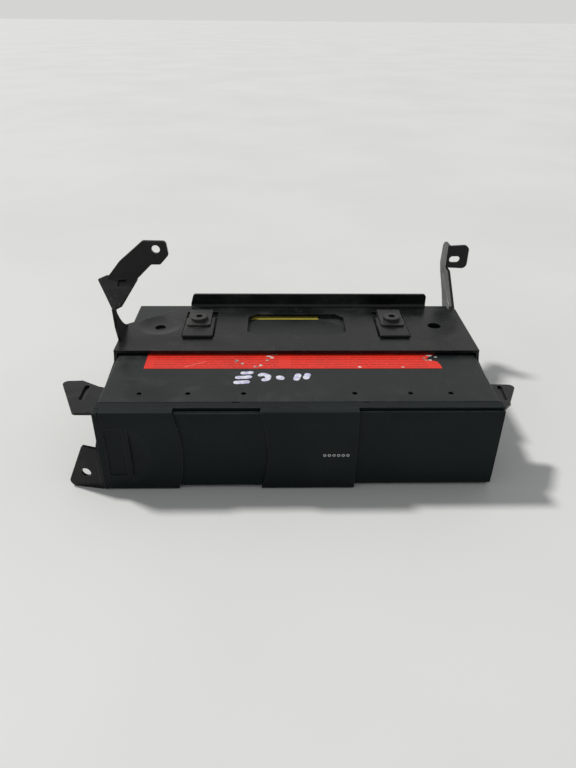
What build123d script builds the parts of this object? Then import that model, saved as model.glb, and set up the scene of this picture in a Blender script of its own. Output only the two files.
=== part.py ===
"""Car CD changer in its mounting bracket: a wide flat magazine changer with a two-panel sliding door.

Millimetres. +X is to the right, +Y to the rear and +Z up. The origin is the centre of the flat underside of
the case. At rest the doors are shut, the magazine is home and the lift carriage is at its lowest level.
"""

from build123d import *
from math import atan2, cos, degrees, hypot, radians, sin
import os

os.makedirs("parts", exist_ok=True)

# ---------------------------------------------------------------- driving dimensions
# Case and cover
case_height = 59.7
sheet = 1.0
fit_gap = 0.1
run_gap = 0.3
wall_height = 40.0
cover_radius = 1.2
cover_hole_xs = (-100.4, -70.0, -35.1, 34.8, 70.1, 95.6)
cover_hole_radius = 1.7
cover_hole_setback = 9.5

# Bezel and doors
bezel_overhang = 0.7
lip_depth = 6.5
nose_step = 2.8
nose_thickness = 2.0
lip_drop = 0.2
door_floor_gap = 1.0
door_wall = 1.2
door_flange = 1.0
door_top_flange = 1.5
door_top_round = 1.35
door_slide_gap = 0.2
door_nose_gap = 0.5
door_layer_gap = 0.3
hook_thickness = 0.8
hook_drop = 1.2
bevel_top = 0.5
bevel_top_height = 6.5
bevel_bottom = 0.6
bevel_bottom_height = 8.5
end_strip_width = 2.9
end_strip_setback = 0.4
bezel_corner = 2.0
door_end_gap = 0.5
inner_section_width = 47.4
outer_start = 100.6
outer_width = 60.0
step_bulge = 4.5
step_clearance = 1.0
ring_depth = 10.0
clip_slot_xs = (-39.5, 40.5)
clip_slot_width = 5.0

# Finger grip on the inner door
grip_start = 5.0
grip_width = 11.4
grip_low_z = 12.0
grip_high_z = 47.5
grip_depth = 0.8
grip_corner = 1.6
scoop_start = 19.5
scoop_centre_start = 7.0
scoop_centre_z = 27.5
scoop_radius = 25.4
scoop_depth = 2.2

# Eject button, its switch and spring
button_start = 10.0
button_z = 24.0
button_width = 12.0
button_height = 8.0
button_travel = 1.0
button_flange = 1.5
button_flange_thickness = 1.0
button_stem_radius = 1.8
switch_size = 5.0
switch_height = 1.5
board_thickness = 0.8
button_spring_radius = 4.6
button_spring_wire = 0.5
button_spring_turns = 4

# Magazine, trays and discs
magazine_side_room = 6.0
magazine_end_room = 4.0
magazine_height = 36.0
magazine_gap = 1.0
magazine_wall = 1.4
magazine_front_wall = 2.0
magazine_inset = 2.0
tray_count = 6
tray_pitch = 5.3
tray_thickness = 1.8
tray_floor = 0.5
tray_end_margin = 2.0
tray_first = 0.9
tray_side_gap = 0.5
ledge_thickness = 0.8
ledge_overlap = 2.0
disc_radius = 60.0
disc_thickness = 1.2
disc_hole_radius = 7.5
disc_recess_gap = 0.7
guide_height = 12.6
guide_thickness = 1.2
guide_rail_height = 10.0

# Magazine ejector
pusher_width = 20.0
pusher_height = 20.0
pusher_plate = 1.2
pusher_tube_radius = 2.8
ejector_pin_radius = 1.5
pusher_tube_length = 5.0
ejector_spring_radius = 3.9
ejector_spring_wire = 0.7
ejector_spring_turns = 4

# Mechanism chassis, cam slider and lift
mech_y = -5.0
mech_end_gap = 2.0
mech_gap = 4.0
mech_length = 104.0
mech_side_room = 2.2
case_end_room = 7.1
mech_base_z = 4.2
mech_plate = 1.2
mech_wall_top = 54.0
damper_radius = 5.0
pin_radius = 1.5
pin_block_half = 2.1
slot_gap = 0.2
pin_starts = (30.0, 70.0)
pin_z = 12.4
lift_travel = 26.5
cam_travel = 22.0
cam_plate = 1.4
cam_start = 2.0
cam_length = 76.0
cam_low_z = 8.0
cam_high_z = 53.0
stud_z = 49.5
stud_starts = (34.0, 72.0)
link_width = 8.0
link_low_z = 6.0
link_thickness = 1.3
lift_screw_radius = 1.2
lift_screw_offset = 4.2
lift_screw_z = 30.0
lift_screw_start = 34.0
lift_motor_start = 82.0
lift_motor_length = 18.0
small_motor_radius = 3.7
bearing_gap = 0.05
nut_lug_width = 6.0
nut_lug_start = 42.0

# Lift carriage, turntable, clamp and pickup
carriage_overhang = 1.0
carriage_length = 103.0
carriage_z = 11.0
carriage_plate = 1.2
spindle_start = 14.0
spindle_motor_radius = 12.0
spindle_motor_height = 3.2
spindle_radius = 1.0
turntable_radius = 14.5
turntable_z = 12.8
turntable_height = 2.2
cone_radius = 7.3
cone_tip_radius = 6.6
cone_height = 1.2
clamp_gap = 3.6
clamp_radius = 13.0
clamp_puck_height = 2.8
clamp_neck_radius = 4.0
clamp_arm_plate = 1.2
clamp_arm_width = 24.0
sled_start = 32.0
sled_length = 14.0
sled_half_width = 18.0
sled_low_z = 7.8
sled_height = 5.6
sled_travel = 34.0
lens_start = 38.0
lens_radius = 2.5
lens_round = 0.6
rod_radius = 1.5
rod_offset = 14.0
rod_z = 9.4
screw_z = 11.4
lead_screw_radius = 1.1
lead_screw_offset = 24.0
sled_motor_length = 20.0
holder_width = 3.0
hook_y_offset = -44.0
hook_start = 1.0
hook_length = 6.0
hook_half_width = 4.0
transfer_screw_radius = 1.4
loading_motor_length = 11.0

# Electronics
board_low_z = 3.0
board_post_inset = 11.0
board_post_radius = 3.0
main_board_thickness = 1.6
chip_size = 14.0
chip_height = 1.8
chip_spread = (22.5, 22.5)
chip_centre = (-57.5, -2.5)
capacitor_radius = 4.0
capacitor_height = 6.5
capacitor_pitch = 14.0
capacitor_count = 4
capacitor_centre = (-39.0, 44.0)
plug_block = (8.0, 24.0, 5.0)
plug_block_spread = 46.0
plug_block_centre = (-54.0, -10.0)
socket_x = -90.0
socket_width = 24.0
socket_height = 7.6
socket_depth = 13.0
socket_wall = 1.2
socket_pin_count = 12

# Bracket
steel = 2.0
bracket_gap = 0.2
plate_gap = 1.6
plate_front_y = -11.6
plate_left_rear_y = 29.9
plate_corner_inset = 43.2
plate_rear_y = 64.4
flange_bend = 2.4
plate_notch_inset = 21.2
plate_right_rear_y = 57.2
upstand_height = 10.2
upstand_lean = 2.2
upstand_round = 2.4
window_width = 73.0
window_depth = 35.3
window_x = 0.5
window_y = 30.5
window_chamfer = 5.5
tongue_x = 71.4
tongue_half = 11.0
tongue_slit = 0.9
tongue_front_y = 7.2
tongue_rear_y = 37.0
tongue_opening_rear_y = 52.0
tongue_corner = 1.5
tongue_round = 0.8
clip_x = 72.0
clip_half = 8.6
clip_front_y = 22.0
clip_rear_y = 50.0
clip_steel = 1.3
clip_grip_y = 25.0
clip_corner = 3.0
boss_y = 31.3
boss_radius = 6.2
boss_height = 3.0
boss_rim = 0.6
boss_bore = 2.5
clip_clearance = 3.4
right_hole_inset = 21.2
right_hole_radius = 5.0
plate_hole_y = 27.4
dimple_inset = 24.2
dimple_y = 29.0
dimple_radius = 16.0
dimple_flat_radius = 8.0
dimple_depth = 1.4
dimple_round = 30.0
dimple_hole_radius = 4.0
ear_drop = 10.3
shoulder_drop = 7.3
side_low_z = 21.0
ear_round = 3.4
foot_round = 4.2
left_tab_round = 2.6
right_tab_round = 4.2
ear_slot_width = 3.4
ear_slot_length = 18.0
foot_angle = 10.0
foot_hole_radius = 3.25
arm_slope = 36.0
arm_square = 5.8
left_bolt_radius = 2.9
right_slot_radius = 2.7
right_slot_length = 8.8
screw_ys = (-30.0, 20.0)
screw_z_level = 30.0
screw_radius = 2.5
screw_recess_radius = 2.0
screw_head_radius = 4.6
screw_head_height = 2.6

# Outlines of the folded steel. The first number is the distance outward from the inner face of the bracket's
# side, or the place along Y on a side plate; the second is the place along Y, or the height above the plate.
left_ear_outline = (
    (0.0, -72.8),
    (15.4, -72.6),
    (32.4, -35.1),
    (18.4, -34.4),
    (5.9, -42.1),
    (0.0, -44.0),
)
left_slot_centre = (13.6, -49.5)
right_ear_outline = (
    (0.0, -39.8),
    (19.6, -40.7),
    (8.4, -64.1),
    (4.3, -68.7),
    (0.0, -70.5),
)
right_slot_centre = (7.4, -50.9)
right_slot_turn = 85.0
left_side_front = ((-82.4, 0.0), (-82.4, 31.0), (-78.0, 34.0), (-72.8, 38.0))
ear_front_y = -72.8
ear_rear_y = -43.6
shoulder_y = -14.0
left_side_foot = ((-37.6, 21.0), (-49.6, 0.0))
right_side_low = (-72.8, 36.0)
right_side_foot_y = -60.0
foot_outline = ((0.8, 0.0), (0.8, 31.8), (10.8, 33.0), (25.4, 0.0))
foot_hole = (11.0, 12.3)
riser_outline = ((4.4, 0.0), (0.4, 11.7), (-0.6, 26.2), (3.9, 26.2))
riser_curve = ((4.4, 21.7), (12.4, 11.7), (29.8, 0.0))
leaf_origin_y = 2.4
leaf_origin_rise = 25.7
leaf_outline = ((2.0, -1.5), (-3.8, 2.3), (-13.3, 25.0), (8.6, 26.6), (14.9, 23.2))
leaf_square_centre = (-2.3, 19.9)
left_tab_y = 23.4
left_tab_outline = (
    (8.8, 39.5),
    (-1.8, 52.2),
    (-19.4, 66.9),
    (-35.2, 66.6),
    (-36.3, 56.7),
    (-30.1, 50.0),
    (-23.8, 50.0),
    (-13.0, 39.5),
)
left_bolt_centre = (-27.9, 60.9)
right_arm_outline = (
    (57.2, -2.0),
    (86.4, 20.7),
    (94.4, 20.7),
    (94.4, 39.2),
    (106.4, 38.7),
    (110.9, 34.7),
    (112.4, 18.7),
    (108.9, 13.0),
    (95.7, 0.2),
    (87.3, -10.7),
    (72.0, -22.3),
    (57.2, -26.3),
)
right_tab_y = 96.4
right_tab_outline = ((0.0, 20.7), (17.3, 19.9), (17.3, 39.7), (0.0, 38.7))
right_slot_place = (6.6, 27.6)
crease_line = ((69.5, -2.3), (102.5, 14.2))
crease_radius = 0.6

# Labels
label_thickness = 0.15
label_left_x = -103.9
label_right_x = 98.0
label_front_y = -30.6
label_depth = 34.0
code_label_left_x = -36.0
code_label_width = 54.0
code_label_front_y = 45.8
code_label_depth = 14.0

# ---------------------------------------------------------------- derived sizes
tray_half_depth = disc_radius + tray_end_margin
mech_half = tray_half_depth + mech_end_gap
magazine_width = 2 * (disc_radius + magazine_side_room)
magazine_depth = 2 * (mech_half + magazine_end_room)
case_front = -mech_half - case_end_room
case_rear = mech_half + case_end_room
case_depth = case_rear - case_front
case_inner = (guide_thickness + magazine_gap + magazine_width + mech_gap + mech_length + mech_side_room) / 2
case_half = case_inner + sheet
cover_half = case_half + sheet + fit_gap
cover_under = case_height - sheet
bezel_half = cover_half + bezel_overhang
lip_front = case_front - lip_depth
nose_front = lip_front - nose_step
inner_face = nose_front - door_nose_gap - door_wall
outer_face = inner_face - door_layer_gap - door_wall
door_low = door_floor_gap
door_high = case_height - lip_drop
nose_low = door_low + door_flange + door_slide_gap
nose_high = door_high - door_top_flange - door_slide_gap
flange_rear = lip_front - door_slide_gap
hook_front = flange_rear - hook_thickness
groove_front = hook_front - door_layer_gap
door_left_x = -bezel_half + end_strip_width + door_end_gap
inner_step_x = -bezel_half + inner_section_width
outer_left_x = -bezel_half + outer_start
outer_right_x = outer_left_x + outer_width
grip_left_x = -bezel_half + grip_start
grip_right_x = grip_left_x + grip_width
scoop_left_x = -bezel_half + scoop_start
scoop_centre_x = -bezel_half + scoop_centre_start
inner_right_x = outer_left_x + step_bulge + 2 * step_clearance + fit_gap
magazine_left_x = -case_inner + guide_thickness + magazine_gap
magazine_right_x = magazine_left_x + magazine_width
magazine_front_y = case_front - magazine_inset
magazine_rear_y = magazine_front_y + magazine_depth
guide_top_z = guide_height + guide_thickness
magazine_z = guide_top_z + run_gap
tray_left_x = magazine_left_x + magazine_wall + tray_side_gap
tray_right_x = magazine_right_x - tray_side_gap
tray_z = magazine_z + magazine_wall + tray_first
disc_x = (tray_left_x + tray_right_x) / 2
mech_left_x = magazine_right_x + mech_gap
mech_right_x = mech_left_x + mech_length
pin_xs = [mech_left_x + start for start in pin_starts]
stud_xs = [mech_left_x + start for start in stud_starts]
cam_left_x = mech_left_x + cam_start
cam_right_x = cam_left_x + cam_length
lift_screw_left_x = mech_left_x + lift_screw_start
lift_motor_left_x = mech_left_x + lift_motor_start
nut_lug_x = mech_left_x + nut_lug_start
carriage_left_x = mech_left_x - carriage_overhang
carriage_right_x = carriage_left_x + carriage_length
spindle_x = mech_left_x + spindle_start
sled_left_x = mech_left_x + sled_start
lens_x = mech_left_x + lens_start
hook_left_x = mech_left_x + hook_start
button_x = mech_left_x + button_start
mech_outer = mech_half + mech_plate
cam_inner = mech_outer + fit_gap * 2
cam_outer = cam_inner + cam_plate
lift_screw_y = mech_y + cam_outer + lift_screw_offset
plate_under_z = case_height + plate_gap
plate_top_z = plate_under_z + steel
ear_top_z = plate_top_z - ear_drop
shoulder_z = plate_top_z - shoulder_drop
plate_inner_x = bezel_half + bracket_gap
bracket_half_width = plate_inner_x + steel
plate_notch_x = plate_inner_x - plate_notch_inset
plate_corner_x = plate_corner_inset - plate_inner_x
right_hole_x = plate_inner_x - right_hole_inset
dimple_x = dimple_inset - plate_inner_x
bend_start_y = plate_rear_y - steel - flange_bend - sheet
corner_slope = (plate_corner_x + bracket_half_width) / (plate_rear_y - plate_left_rear_y)
bend_start_x = corner_slope * (bend_start_y - plate_left_rear_y) - bracket_half_width
tongue_top_z = plate_top_z + steel
clip_top_z = tongue_top_z + clip_steel
boss_top_z = clip_top_z + boss_height
carriage_top = carriage_z + carriage_plate


def block(x, y, z, mode=Mode.ADD):
    """A box between pairs of coordinates, added to or cut from the part being built."""
    centre = ((x[0] + x[1]) / 2, (y[0] + y[1]) / 2, (z[0] + z[1]) / 2)
    with Locations(centre):
        Box(abs(x[1] - x[0]), abs(y[1] - y[0]), abs(z[1] - z[0]), mode=mode)


def rod(start, end, radius, mode=Mode.ADD):
    """A round bar from one point to another."""
    along = Vector(*end) - Vector(*start)
    with Locations(Plane(origin=start, z_dir=along)):
        Cylinder(radius, along.length, align=(Align.CENTER, Align.CENTER, Align.MIN), mode=mode)


def face_line(front, low, high):
    """Points up the front of the doors: a flat face with a slight bevel above and below."""
    return [
        (front + bevel_bottom, low),
        (front, door_low + bevel_bottom_height),
        (front, door_high - bevel_top_height),
        (front + bevel_top, high),
    ]


# ---------------------------------------------------------------- case and cover
with BuildPart() as bottom_case:
    block((-case_half, case_half), (case_front, case_rear), (0, sheet))
    for side in (-1, 1):
        block((side * case_inner, side * case_half), (case_front, case_rear), (0, wall_height))
        for y in screw_ys:
            hole_start = (side * (case_inner - sheet), y, screw_z_level)
            hole_end = (side * (case_half + sheet), y, screw_z_level)
            rod(hole_start, hole_end, screw_radius + bearing_gap, Mode.SUBTRACT)
    block((-case_half, case_half), (case_rear - sheet, case_rear), (0, cover_under - fit_gap))
    socket_low = board_low_z + main_board_thickness
    block(
        (socket_x - socket_width / 2 - run_gap, socket_x + socket_width / 2 + run_gap),
        (case_rear - 2 * sheet, case_rear + sheet),
        (socket_low - run_gap, socket_low + socket_height + run_gap),
        Mode.SUBTRACT,
    )
    post_xs = (magazine_left_x + board_post_inset, magazine_right_x - board_post_inset)
    post_ys = (case_front + 2 * board_post_inset, case_rear - board_post_inset)
    with Locations(*[(x, y, sheet) for x in post_xs for y in post_ys]):
        Cylinder(board_post_radius, board_low_z - sheet, align=(Align.CENTER, Align.CENTER, Align.MIN))
    pusher_x = magazine_left_x + magazine_width / 2
    pusher_z = magazine_z + magazine_height / 2
    pin_tip = magazine_rear_y + pusher_plate + run_gap
    rod((pusher_x, case_rear - sheet, pusher_z), (pusher_x, pin_tip, pusher_z), ejector_pin_radius)
bottom_case.part.label = "bottom_case"
export_step(bottom_case.part, "parts/bottom_case.step")

with BuildPart() as top_cover:
    with BuildSketch(Plane.XZ.offset(-case_front)):
        with Locations((0, case_height / 2)):
            RectangleRounded(2 * cover_half, case_height, cover_radius)
        with Locations((0, 0)):
            Rectangle(2 * (cover_half - sheet), 2 * cover_under, mode=Mode.SUBTRACT)
            Rectangle(2 * cover_half, 2 * (cover_radius + fit_gap), mode=Mode.SUBTRACT)
    extrude(amount=-case_depth)
    for x in cover_hole_xs:
        rod(
            (x, case_front + cover_hole_setback, cover_under - sheet),
            (x, case_front + cover_hole_setback, case_height + sheet),
            cover_hole_radius,
            Mode.SUBTRACT,
        )
    for side in (-1, 1):
        for y in screw_ys:
            rod(
                (side * (case_half - sheet), y, screw_z_level),
                (side * (cover_half + sheet), y, screw_z_level),
                screw_radius + run_gap,
                Mode.SUBTRACT,
            )
top_cover.part.label = "top_cover"
export_step(top_cover.part, "parts/top_cover.step")

# ---------------------------------------------------------------- bezel and doors
magazine_opening_x = (magazine_left_x - magazine_gap, magazine_right_x + magazine_gap)
magazine_opening_z = (magazine_z - magazine_gap, magazine_z + magazine_height + magazine_gap)
pocket_left = magazine_opening_x[1] + magazine_front_wall
pocket_right = case_inner - sheet - fit_gap
pocket_low = nose_low + hook_drop + 2 * fit_gap + nose_thickness / 2
pocket_high = nose_high - hook_drop - 2 * fit_gap - nose_thickness / 2
nose_back = nose_front + nose_thickness
groove_depth = hook_drop + door_layer_gap
button_hole_x = (button_x - button_width / 2 - run_gap, button_x + button_width / 2 + run_gap)
button_hole_z = (button_z - button_height / 2 - run_gap, button_z + button_height / 2 + run_gap)
switch_board_y = nose_back + run_gap + button_flange_thickness + button_travel + 2 * button_flange + run_gap
post_offset = button_width / 2 + button_flange + run_gap + button_stem_radius
post_radius = button_stem_radius - run_gap

with BuildPart() as front_bezel:
    with BuildSketch(Plane.YZ.offset(-bezel_half)):
        with BuildLine():
            Polyline(
                *face_line(nose_front, nose_low, nose_high),
                (groove_front, nose_high),
                (groove_front, nose_high - groove_depth),
                (lip_front, nose_high - groove_depth),
                (lip_front, door_high),
                (case_front, door_high),
                (case_front, 0),
                (lip_front, 0),
                (lip_front, nose_low + groove_depth),
                (groove_front, nose_low + groove_depth),
                (groove_front, nose_low),
                close=True,
            )
        make_face()
    extrude(amount=2 * bezel_half)
    ring_half = case_inner - 2 * fit_gap
    ring_z = (sheet + 2 * fit_gap, cover_under - fit_gap)
    block((-ring_half, ring_half), (case_front, case_front + ring_depth), ring_z)
    block(
        (magazine_opening_x[0], pocket_right),
        (case_front, case_front + ring_depth + sheet),
        (ring_z[0] + magazine_front_wall, ring_z[1] - magazine_front_wall),
        Mode.SUBTRACT,
    )
    block(magazine_opening_x, (nose_front - lip_depth, case_front + sheet), magazine_opening_z, Mode.SUBTRACT)
    block((pocket_left, pocket_right), (nose_back, case_front + sheet), (pocket_low, pocket_high), Mode.SUBTRACT)
    block(button_hole_x, (nose_front - sheet, nose_back + sheet), button_hole_z, Mode.SUBTRACT)
    strip_right = -bezel_half + end_strip_width
    block((-bezel_half, strip_right), (outer_face + end_strip_setback, lip_front), (door_low, door_high - lip_drop))
    for x in (button_x - post_offset, button_x + post_offset):
        rod((x, nose_back, button_z), (x, switch_board_y, button_z), post_radius)
    for x in clip_slot_xs:
        block(
            (x - clip_slot_width / 2, x + clip_slot_width / 2),
            (case_front - sheet, case_front),
            (door_high - sheet, door_high + sheet),
            Mode.SUBTRACT,
        )
    bezel_corners = front_bezel.edges().filter_by(Axis.Y).group_by(Axis.Z)[0].group_by(Axis.X)
    fillet(bezel_corners[0] + bezel_corners[-1], bezel_corner)
front_bezel.part.label = "front_bezel"
export_step(front_bezel.part, "parts/front_bezel.step")


def door_shell(front, back, left, right):
    """Closed outline of a door wrapped over and under the nose, swept from left to right."""
    with BuildSketch(Plane.YZ.offset(left)) as profile:
        with BuildLine():
            Polyline(
                *face_line(front, door_low, door_high),
                (flange_rear, door_high),
                (flange_rear, nose_high - hook_drop),
                (hook_front, nose_high - hook_drop),
                (hook_front, door_high - door_top_flange),
                *reversed(face_line(back, door_low + door_flange, door_high - door_top_flange)),
                (hook_front, door_low + door_flange),
                (hook_front, nose_low + hook_drop),
                (flange_rear, nose_low + hook_drop),
                (flange_rear, door_low),
                close=True,
            )
        make_face()
        fillet(profile.vertices().group_by(Axis.Y)[-1].sort_by(Axis.X)[0], door_top_round)
    return extrude(profile.sketch, amount=right - left)


def step_outline(x, far_x):
    """Face on the front plane between a bulging step line at x and a straight line at far_x."""
    middle = (door_low + door_high) / 2
    with BuildSketch(Plane.XZ.offset(-outer_face + sheet)) as outline:
        with BuildLine():
            ThreePointArc((x, door_low - sheet), (x + step_bulge, middle), (x, door_high + sheet))
            high = door_high + sheet
            low = door_low - sheet
            Polyline((x, high), (far_x, high), (far_x, low), (x, low))
        make_face()
    return extrude(outline.sketch, amount=outer_face - lip_front - 2 * sheet)


with BuildPart() as door_outer:
    add(door_shell(outer_face, outer_face + door_wall, outer_left_x, outer_right_x))
    add(step_outline(outer_left_x, outer_left_x - step_bulge), mode=Mode.SUBTRACT)
door_outer.part.label = "door_outer"
export_step(door_outer.part, "parts/door_outer.step")

with BuildPart() as door_inner:
    add(door_shell(outer_face, inner_face + door_wall, door_left_x, inner_step_x + step_bulge))
    add(step_outline(inner_step_x, inner_step_x + 3 * step_bulge), mode=Mode.SUBTRACT)
    with BuildSketch(Plane.YZ.offset(inner_step_x - step_bulge)):
        with BuildLine():
            layer_low = door_low + door_flange + door_layer_gap
            layer_high = door_high - door_top_flange - door_slide_gap
            Polyline(
                *face_line(inner_face, layer_low, layer_high),
                *reversed(face_line(inner_face + door_wall, layer_low, layer_high)),
                close=True,
            )
        make_face()
    extrude(amount=inner_right_x - inner_step_x + step_bulge)
    with BuildSketch(Plane.XZ.offset(-outer_face)):
        with Locations(((grip_left_x + grip_right_x) / 2, (grip_low_z + grip_high_z) / 2)):
            RectangleRounded(grip_width, grip_high_z - grip_low_z, grip_corner)
    extrude(amount=-grip_depth, mode=Mode.SUBTRACT)
    ball_radius = (scoop_radius**2 + scoop_depth**2) / (2 * scoop_depth)
    with Locations((scoop_centre_x, outer_face + scoop_depth - ball_radius, scoop_centre_z)):
        scoop = Sphere(ball_radius, mode=Mode.PRIVATE)
    with Locations((scoop_left_x + scoop_radius, outer_face, scoop_centre_z)):
        scoop_side = Box(2 * scoop_radius, 4 * scoop_depth, 4 * scoop_radius, mode=Mode.PRIVATE)
    add(scoop & scoop_side, mode=Mode.SUBTRACT)
door_inner.part.label = "door_inner"
export_step(door_inner.part, "parts/door_inner.step")

# ---------------------------------------------------------------- eject button and its switch
flange_y = nose_back + run_gap
flange_back = flange_y + button_flange_thickness
board_front = switch_board_y
stem_tip = board_front - switch_height - run_gap - button_travel
with BuildPart() as eject_button:
    block(
        (button_x - button_width / 2, button_x + button_width / 2),
        (nose_front, flange_y),
        (button_z - button_height / 2, button_z + button_height / 2),
    )
    fillet(eject_button.edges().filter_by(Axis.Y), button_flange / 2)
    block(
        (button_x - button_width / 2 - button_flange, button_x + button_width / 2 + button_flange),
        (flange_y, flange_back),
        (button_z - button_height / 2 - button_flange, button_z + button_height / 2 + button_flange),
    )
    rod((button_x, flange_back, button_z), (button_x, stem_tip, button_z), button_stem_radius)
eject_button.part.label = "eject_button"
export_step(eject_button.part, "parts/eject_button.step")

with BuildPart() as eject_switch:
    board_half = button_x - pocket_left - run_gap
    block(
        (button_x - board_half, button_x + board_half),
        (board_front, board_front + board_thickness),
        (button_z - button_height, button_z + button_height),
    )
    block(
        (button_x - switch_size / 2, button_x + switch_size / 2),
        (board_front - switch_height, board_front),
        (button_z - switch_size / 2, button_z + switch_size / 2),
    )
eject_switch.part.label = "eject_switch"
export_step(eject_switch.part, "parts/eject_switch.step")


def coil(start, length, direction, radius, wire, turns):
    """One unbroken open coil of round wire between two points along an axis."""
    free_length = length - 2 * wire - 2 * bearing_gap
    origin = Vector(*start) + Vector(*direction) * (wire + bearing_gap)
    path_plane = Plane(origin=origin, z_dir=Vector(*direction))
    path = path_plane * Helix(pitch=free_length / turns, height=free_length, radius=radius)
    with BuildSketch(Plane(origin=path @ 0, z_dir=path % 0)) as section:
        Circle(wire / 2)
    return sweep(section.sketch, path=path)


with BuildPart() as eject_spring:
    spring_start = (button_x, flange_back, button_z)
    spring_length = board_front - flange_back
    add(
        coil(
            spring_start, spring_length, (0, 1, 0), button_spring_radius, button_spring_wire, button_spring_turns
        )
    )
eject_spring.part.label = "eject_spring"
export_step(eject_spring.part, "parts/eject_spring.step")

# ---------------------------------------------------------------- magazine, trays and discs
magazine_top_z = magazine_z + magazine_height
tray_zs = [tray_z + tray_pitch * level for level in range(tray_count)]
inner_front_y = magazine_front_y + magazine_front_wall
inner_rear_y = magazine_rear_y - magazine_wall
tray_front_y = mech_y - tray_half_depth
tray_rear_y = mech_y + tray_half_depth

with BuildPart() as magazine_guide:
    rail_left = (-case_inner + fit_gap, magazine_left_x - run_gap)
    rail_right = (magazine_right_x + run_gap, magazine_right_x + run_gap + 2 * guide_thickness)
    guide_y = (case_front + ring_depth + run_gap, magazine_rear_y)
    block((rail_left[0], rail_right[1]), guide_y, (guide_height, guide_top_z))
    block(rail_left, guide_y, (sheet, guide_top_z + guide_rail_height))
    block((rail_right[1] - guide_thickness, rail_right[1]), guide_y, (sheet, guide_height))
    block(rail_right, guide_y, (guide_top_z, magazine_z + guide_thickness))
magazine_guide.part.label = "magazine_guide"
export_step(magazine_guide.part, "parts/magazine_guide.step")

with BuildPart() as magazine_shell:
    block((magazine_left_x, magazine_right_x), (magazine_front_y, magazine_rear_y), (magazine_z, magazine_top_z))
    block(
        (magazine_left_x + magazine_wall, magazine_right_x + sheet),
        (inner_front_y, inner_rear_y),
        (magazine_z + magazine_wall, magazine_top_z - magazine_wall),
        Mode.SUBTRACT,
    )
    for z in tray_zs:
        for y in ((inner_front_y, tray_front_y + ledge_overlap), (tray_rear_y - ledge_overlap, inner_rear_y)):
            block((magazine_left_x + magazine_wall, magazine_right_x), y, (z - ledge_thickness, z))
    with BuildSketch(Plane.XZ.offset(-magazine_front_y)):
        with Locations((magazine_right_x - magazine_height, magazine_z + magazine_height / 2)):
            SlotCenterToCenter(magazine_height, magazine_height / 3)
    extrude(amount=-sheet, mode=Mode.SUBTRACT)
magazine_shell.part.label = "magazine_shell"
export_step(magazine_shell.part, "parts/magazine_shell.step")

with BuildPart() as pusher:
    pusher_front = magazine_rear_y + run_gap
    block(
        (pusher_x - pusher_width / 2, pusher_x + pusher_width / 2),
        (pusher_front, pusher_front + pusher_plate),
        (pusher_z - pusher_height / 2, pusher_z + pusher_height / 2),
    )
    tube_end = pusher_front + pusher_plate + pusher_tube_length
    rod((pusher_x, pusher_front, pusher_z), (pusher_x, tube_end, pusher_z), pusher_tube_radius)
    pin_bore = ejector_pin_radius + bearing_gap
    rod((pusher_x, pusher_front - sheet, pusher_z), (pusher_x, tube_end + sheet, pusher_z), pin_bore, Mode.SUBTRACT)
pusher.part.label = "magazine_pusher"
export_step(pusher.part, "parts/magazine_pusher.step")

with BuildPart() as ejector_spring:
    spring_start = (pusher_x, pusher_front + pusher_plate, pusher_z)
    spring_length = case_rear - sheet - pusher_front - pusher_plate
    add(
        coil(
            spring_start, spring_length, (0, 1, 0), ejector_spring_radius, ejector_spring_wire, ejector_spring_turns
        )
    )
ejector_spring.part.label = "ejector_spring"
export_step(ejector_spring.part, "parts/ejector_spring.step")

for level, z in enumerate(tray_zs, start=1):
    with BuildPart() as disc_tray:
        block((tray_left_x, tray_right_x), (tray_front_y, tray_rear_y), (z, z + tray_thickness))
        with BuildSketch(Plane.XY.offset(z + tray_floor)):
            with Locations((disc_x, mech_y)):
                Circle(disc_radius + disc_recess_gap)
        extrude(amount=tray_thickness, mode=Mode.SUBTRACT)
        with BuildSketch(Plane.XY.offset(z)):
            with Locations((disc_x, mech_y)):
                Circle(sled_half_width)
            with Locations(((disc_x + tray_right_x) / 2 + sheet, mech_y)):
                Rectangle(tray_right_x - disc_x + 2 * sheet, 2 * sled_half_width)
        extrude(amount=tray_thickness, mode=Mode.SUBTRACT)
    disc_tray.part.label = f"disc_tray_{level}"
    export_step(disc_tray.part, f"parts/disc_tray_{level}.step")

    with BuildPart() as disc:
        with BuildSketch(Plane.XY.offset(z + tray_floor)):
            with Locations((disc_x, mech_y)):
                Circle(disc_radius)
                Circle(disc_hole_radius, mode=Mode.SUBTRACT)
        extrude(amount=disc_thickness)
    disc.part.label = f"disc_{level}"
    export_step(disc.part, f"parts/disc_{level}.step")

# ---------------------------------------------------------------- mechanism chassis and cam slider
front_wall = (mech_y - mech_outer, mech_y - mech_half)
rear_wall = (mech_y + mech_half, mech_y + mech_outer)
front_cam = (mech_y - cam_outer, mech_y - cam_inner)
rear_cam = (mech_y + cam_inner, mech_y + cam_outer)
mech_base_top = mech_base_z + mech_plate
lift_row_y = (rear_cam[1] + run_gap, case_rear - sheet - run_gap)
pin_slot = pin_radius + slot_gap
pin_top_z = pin_z + lift_travel
link_x = (cam_left_x, cam_left_x + link_width)

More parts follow.
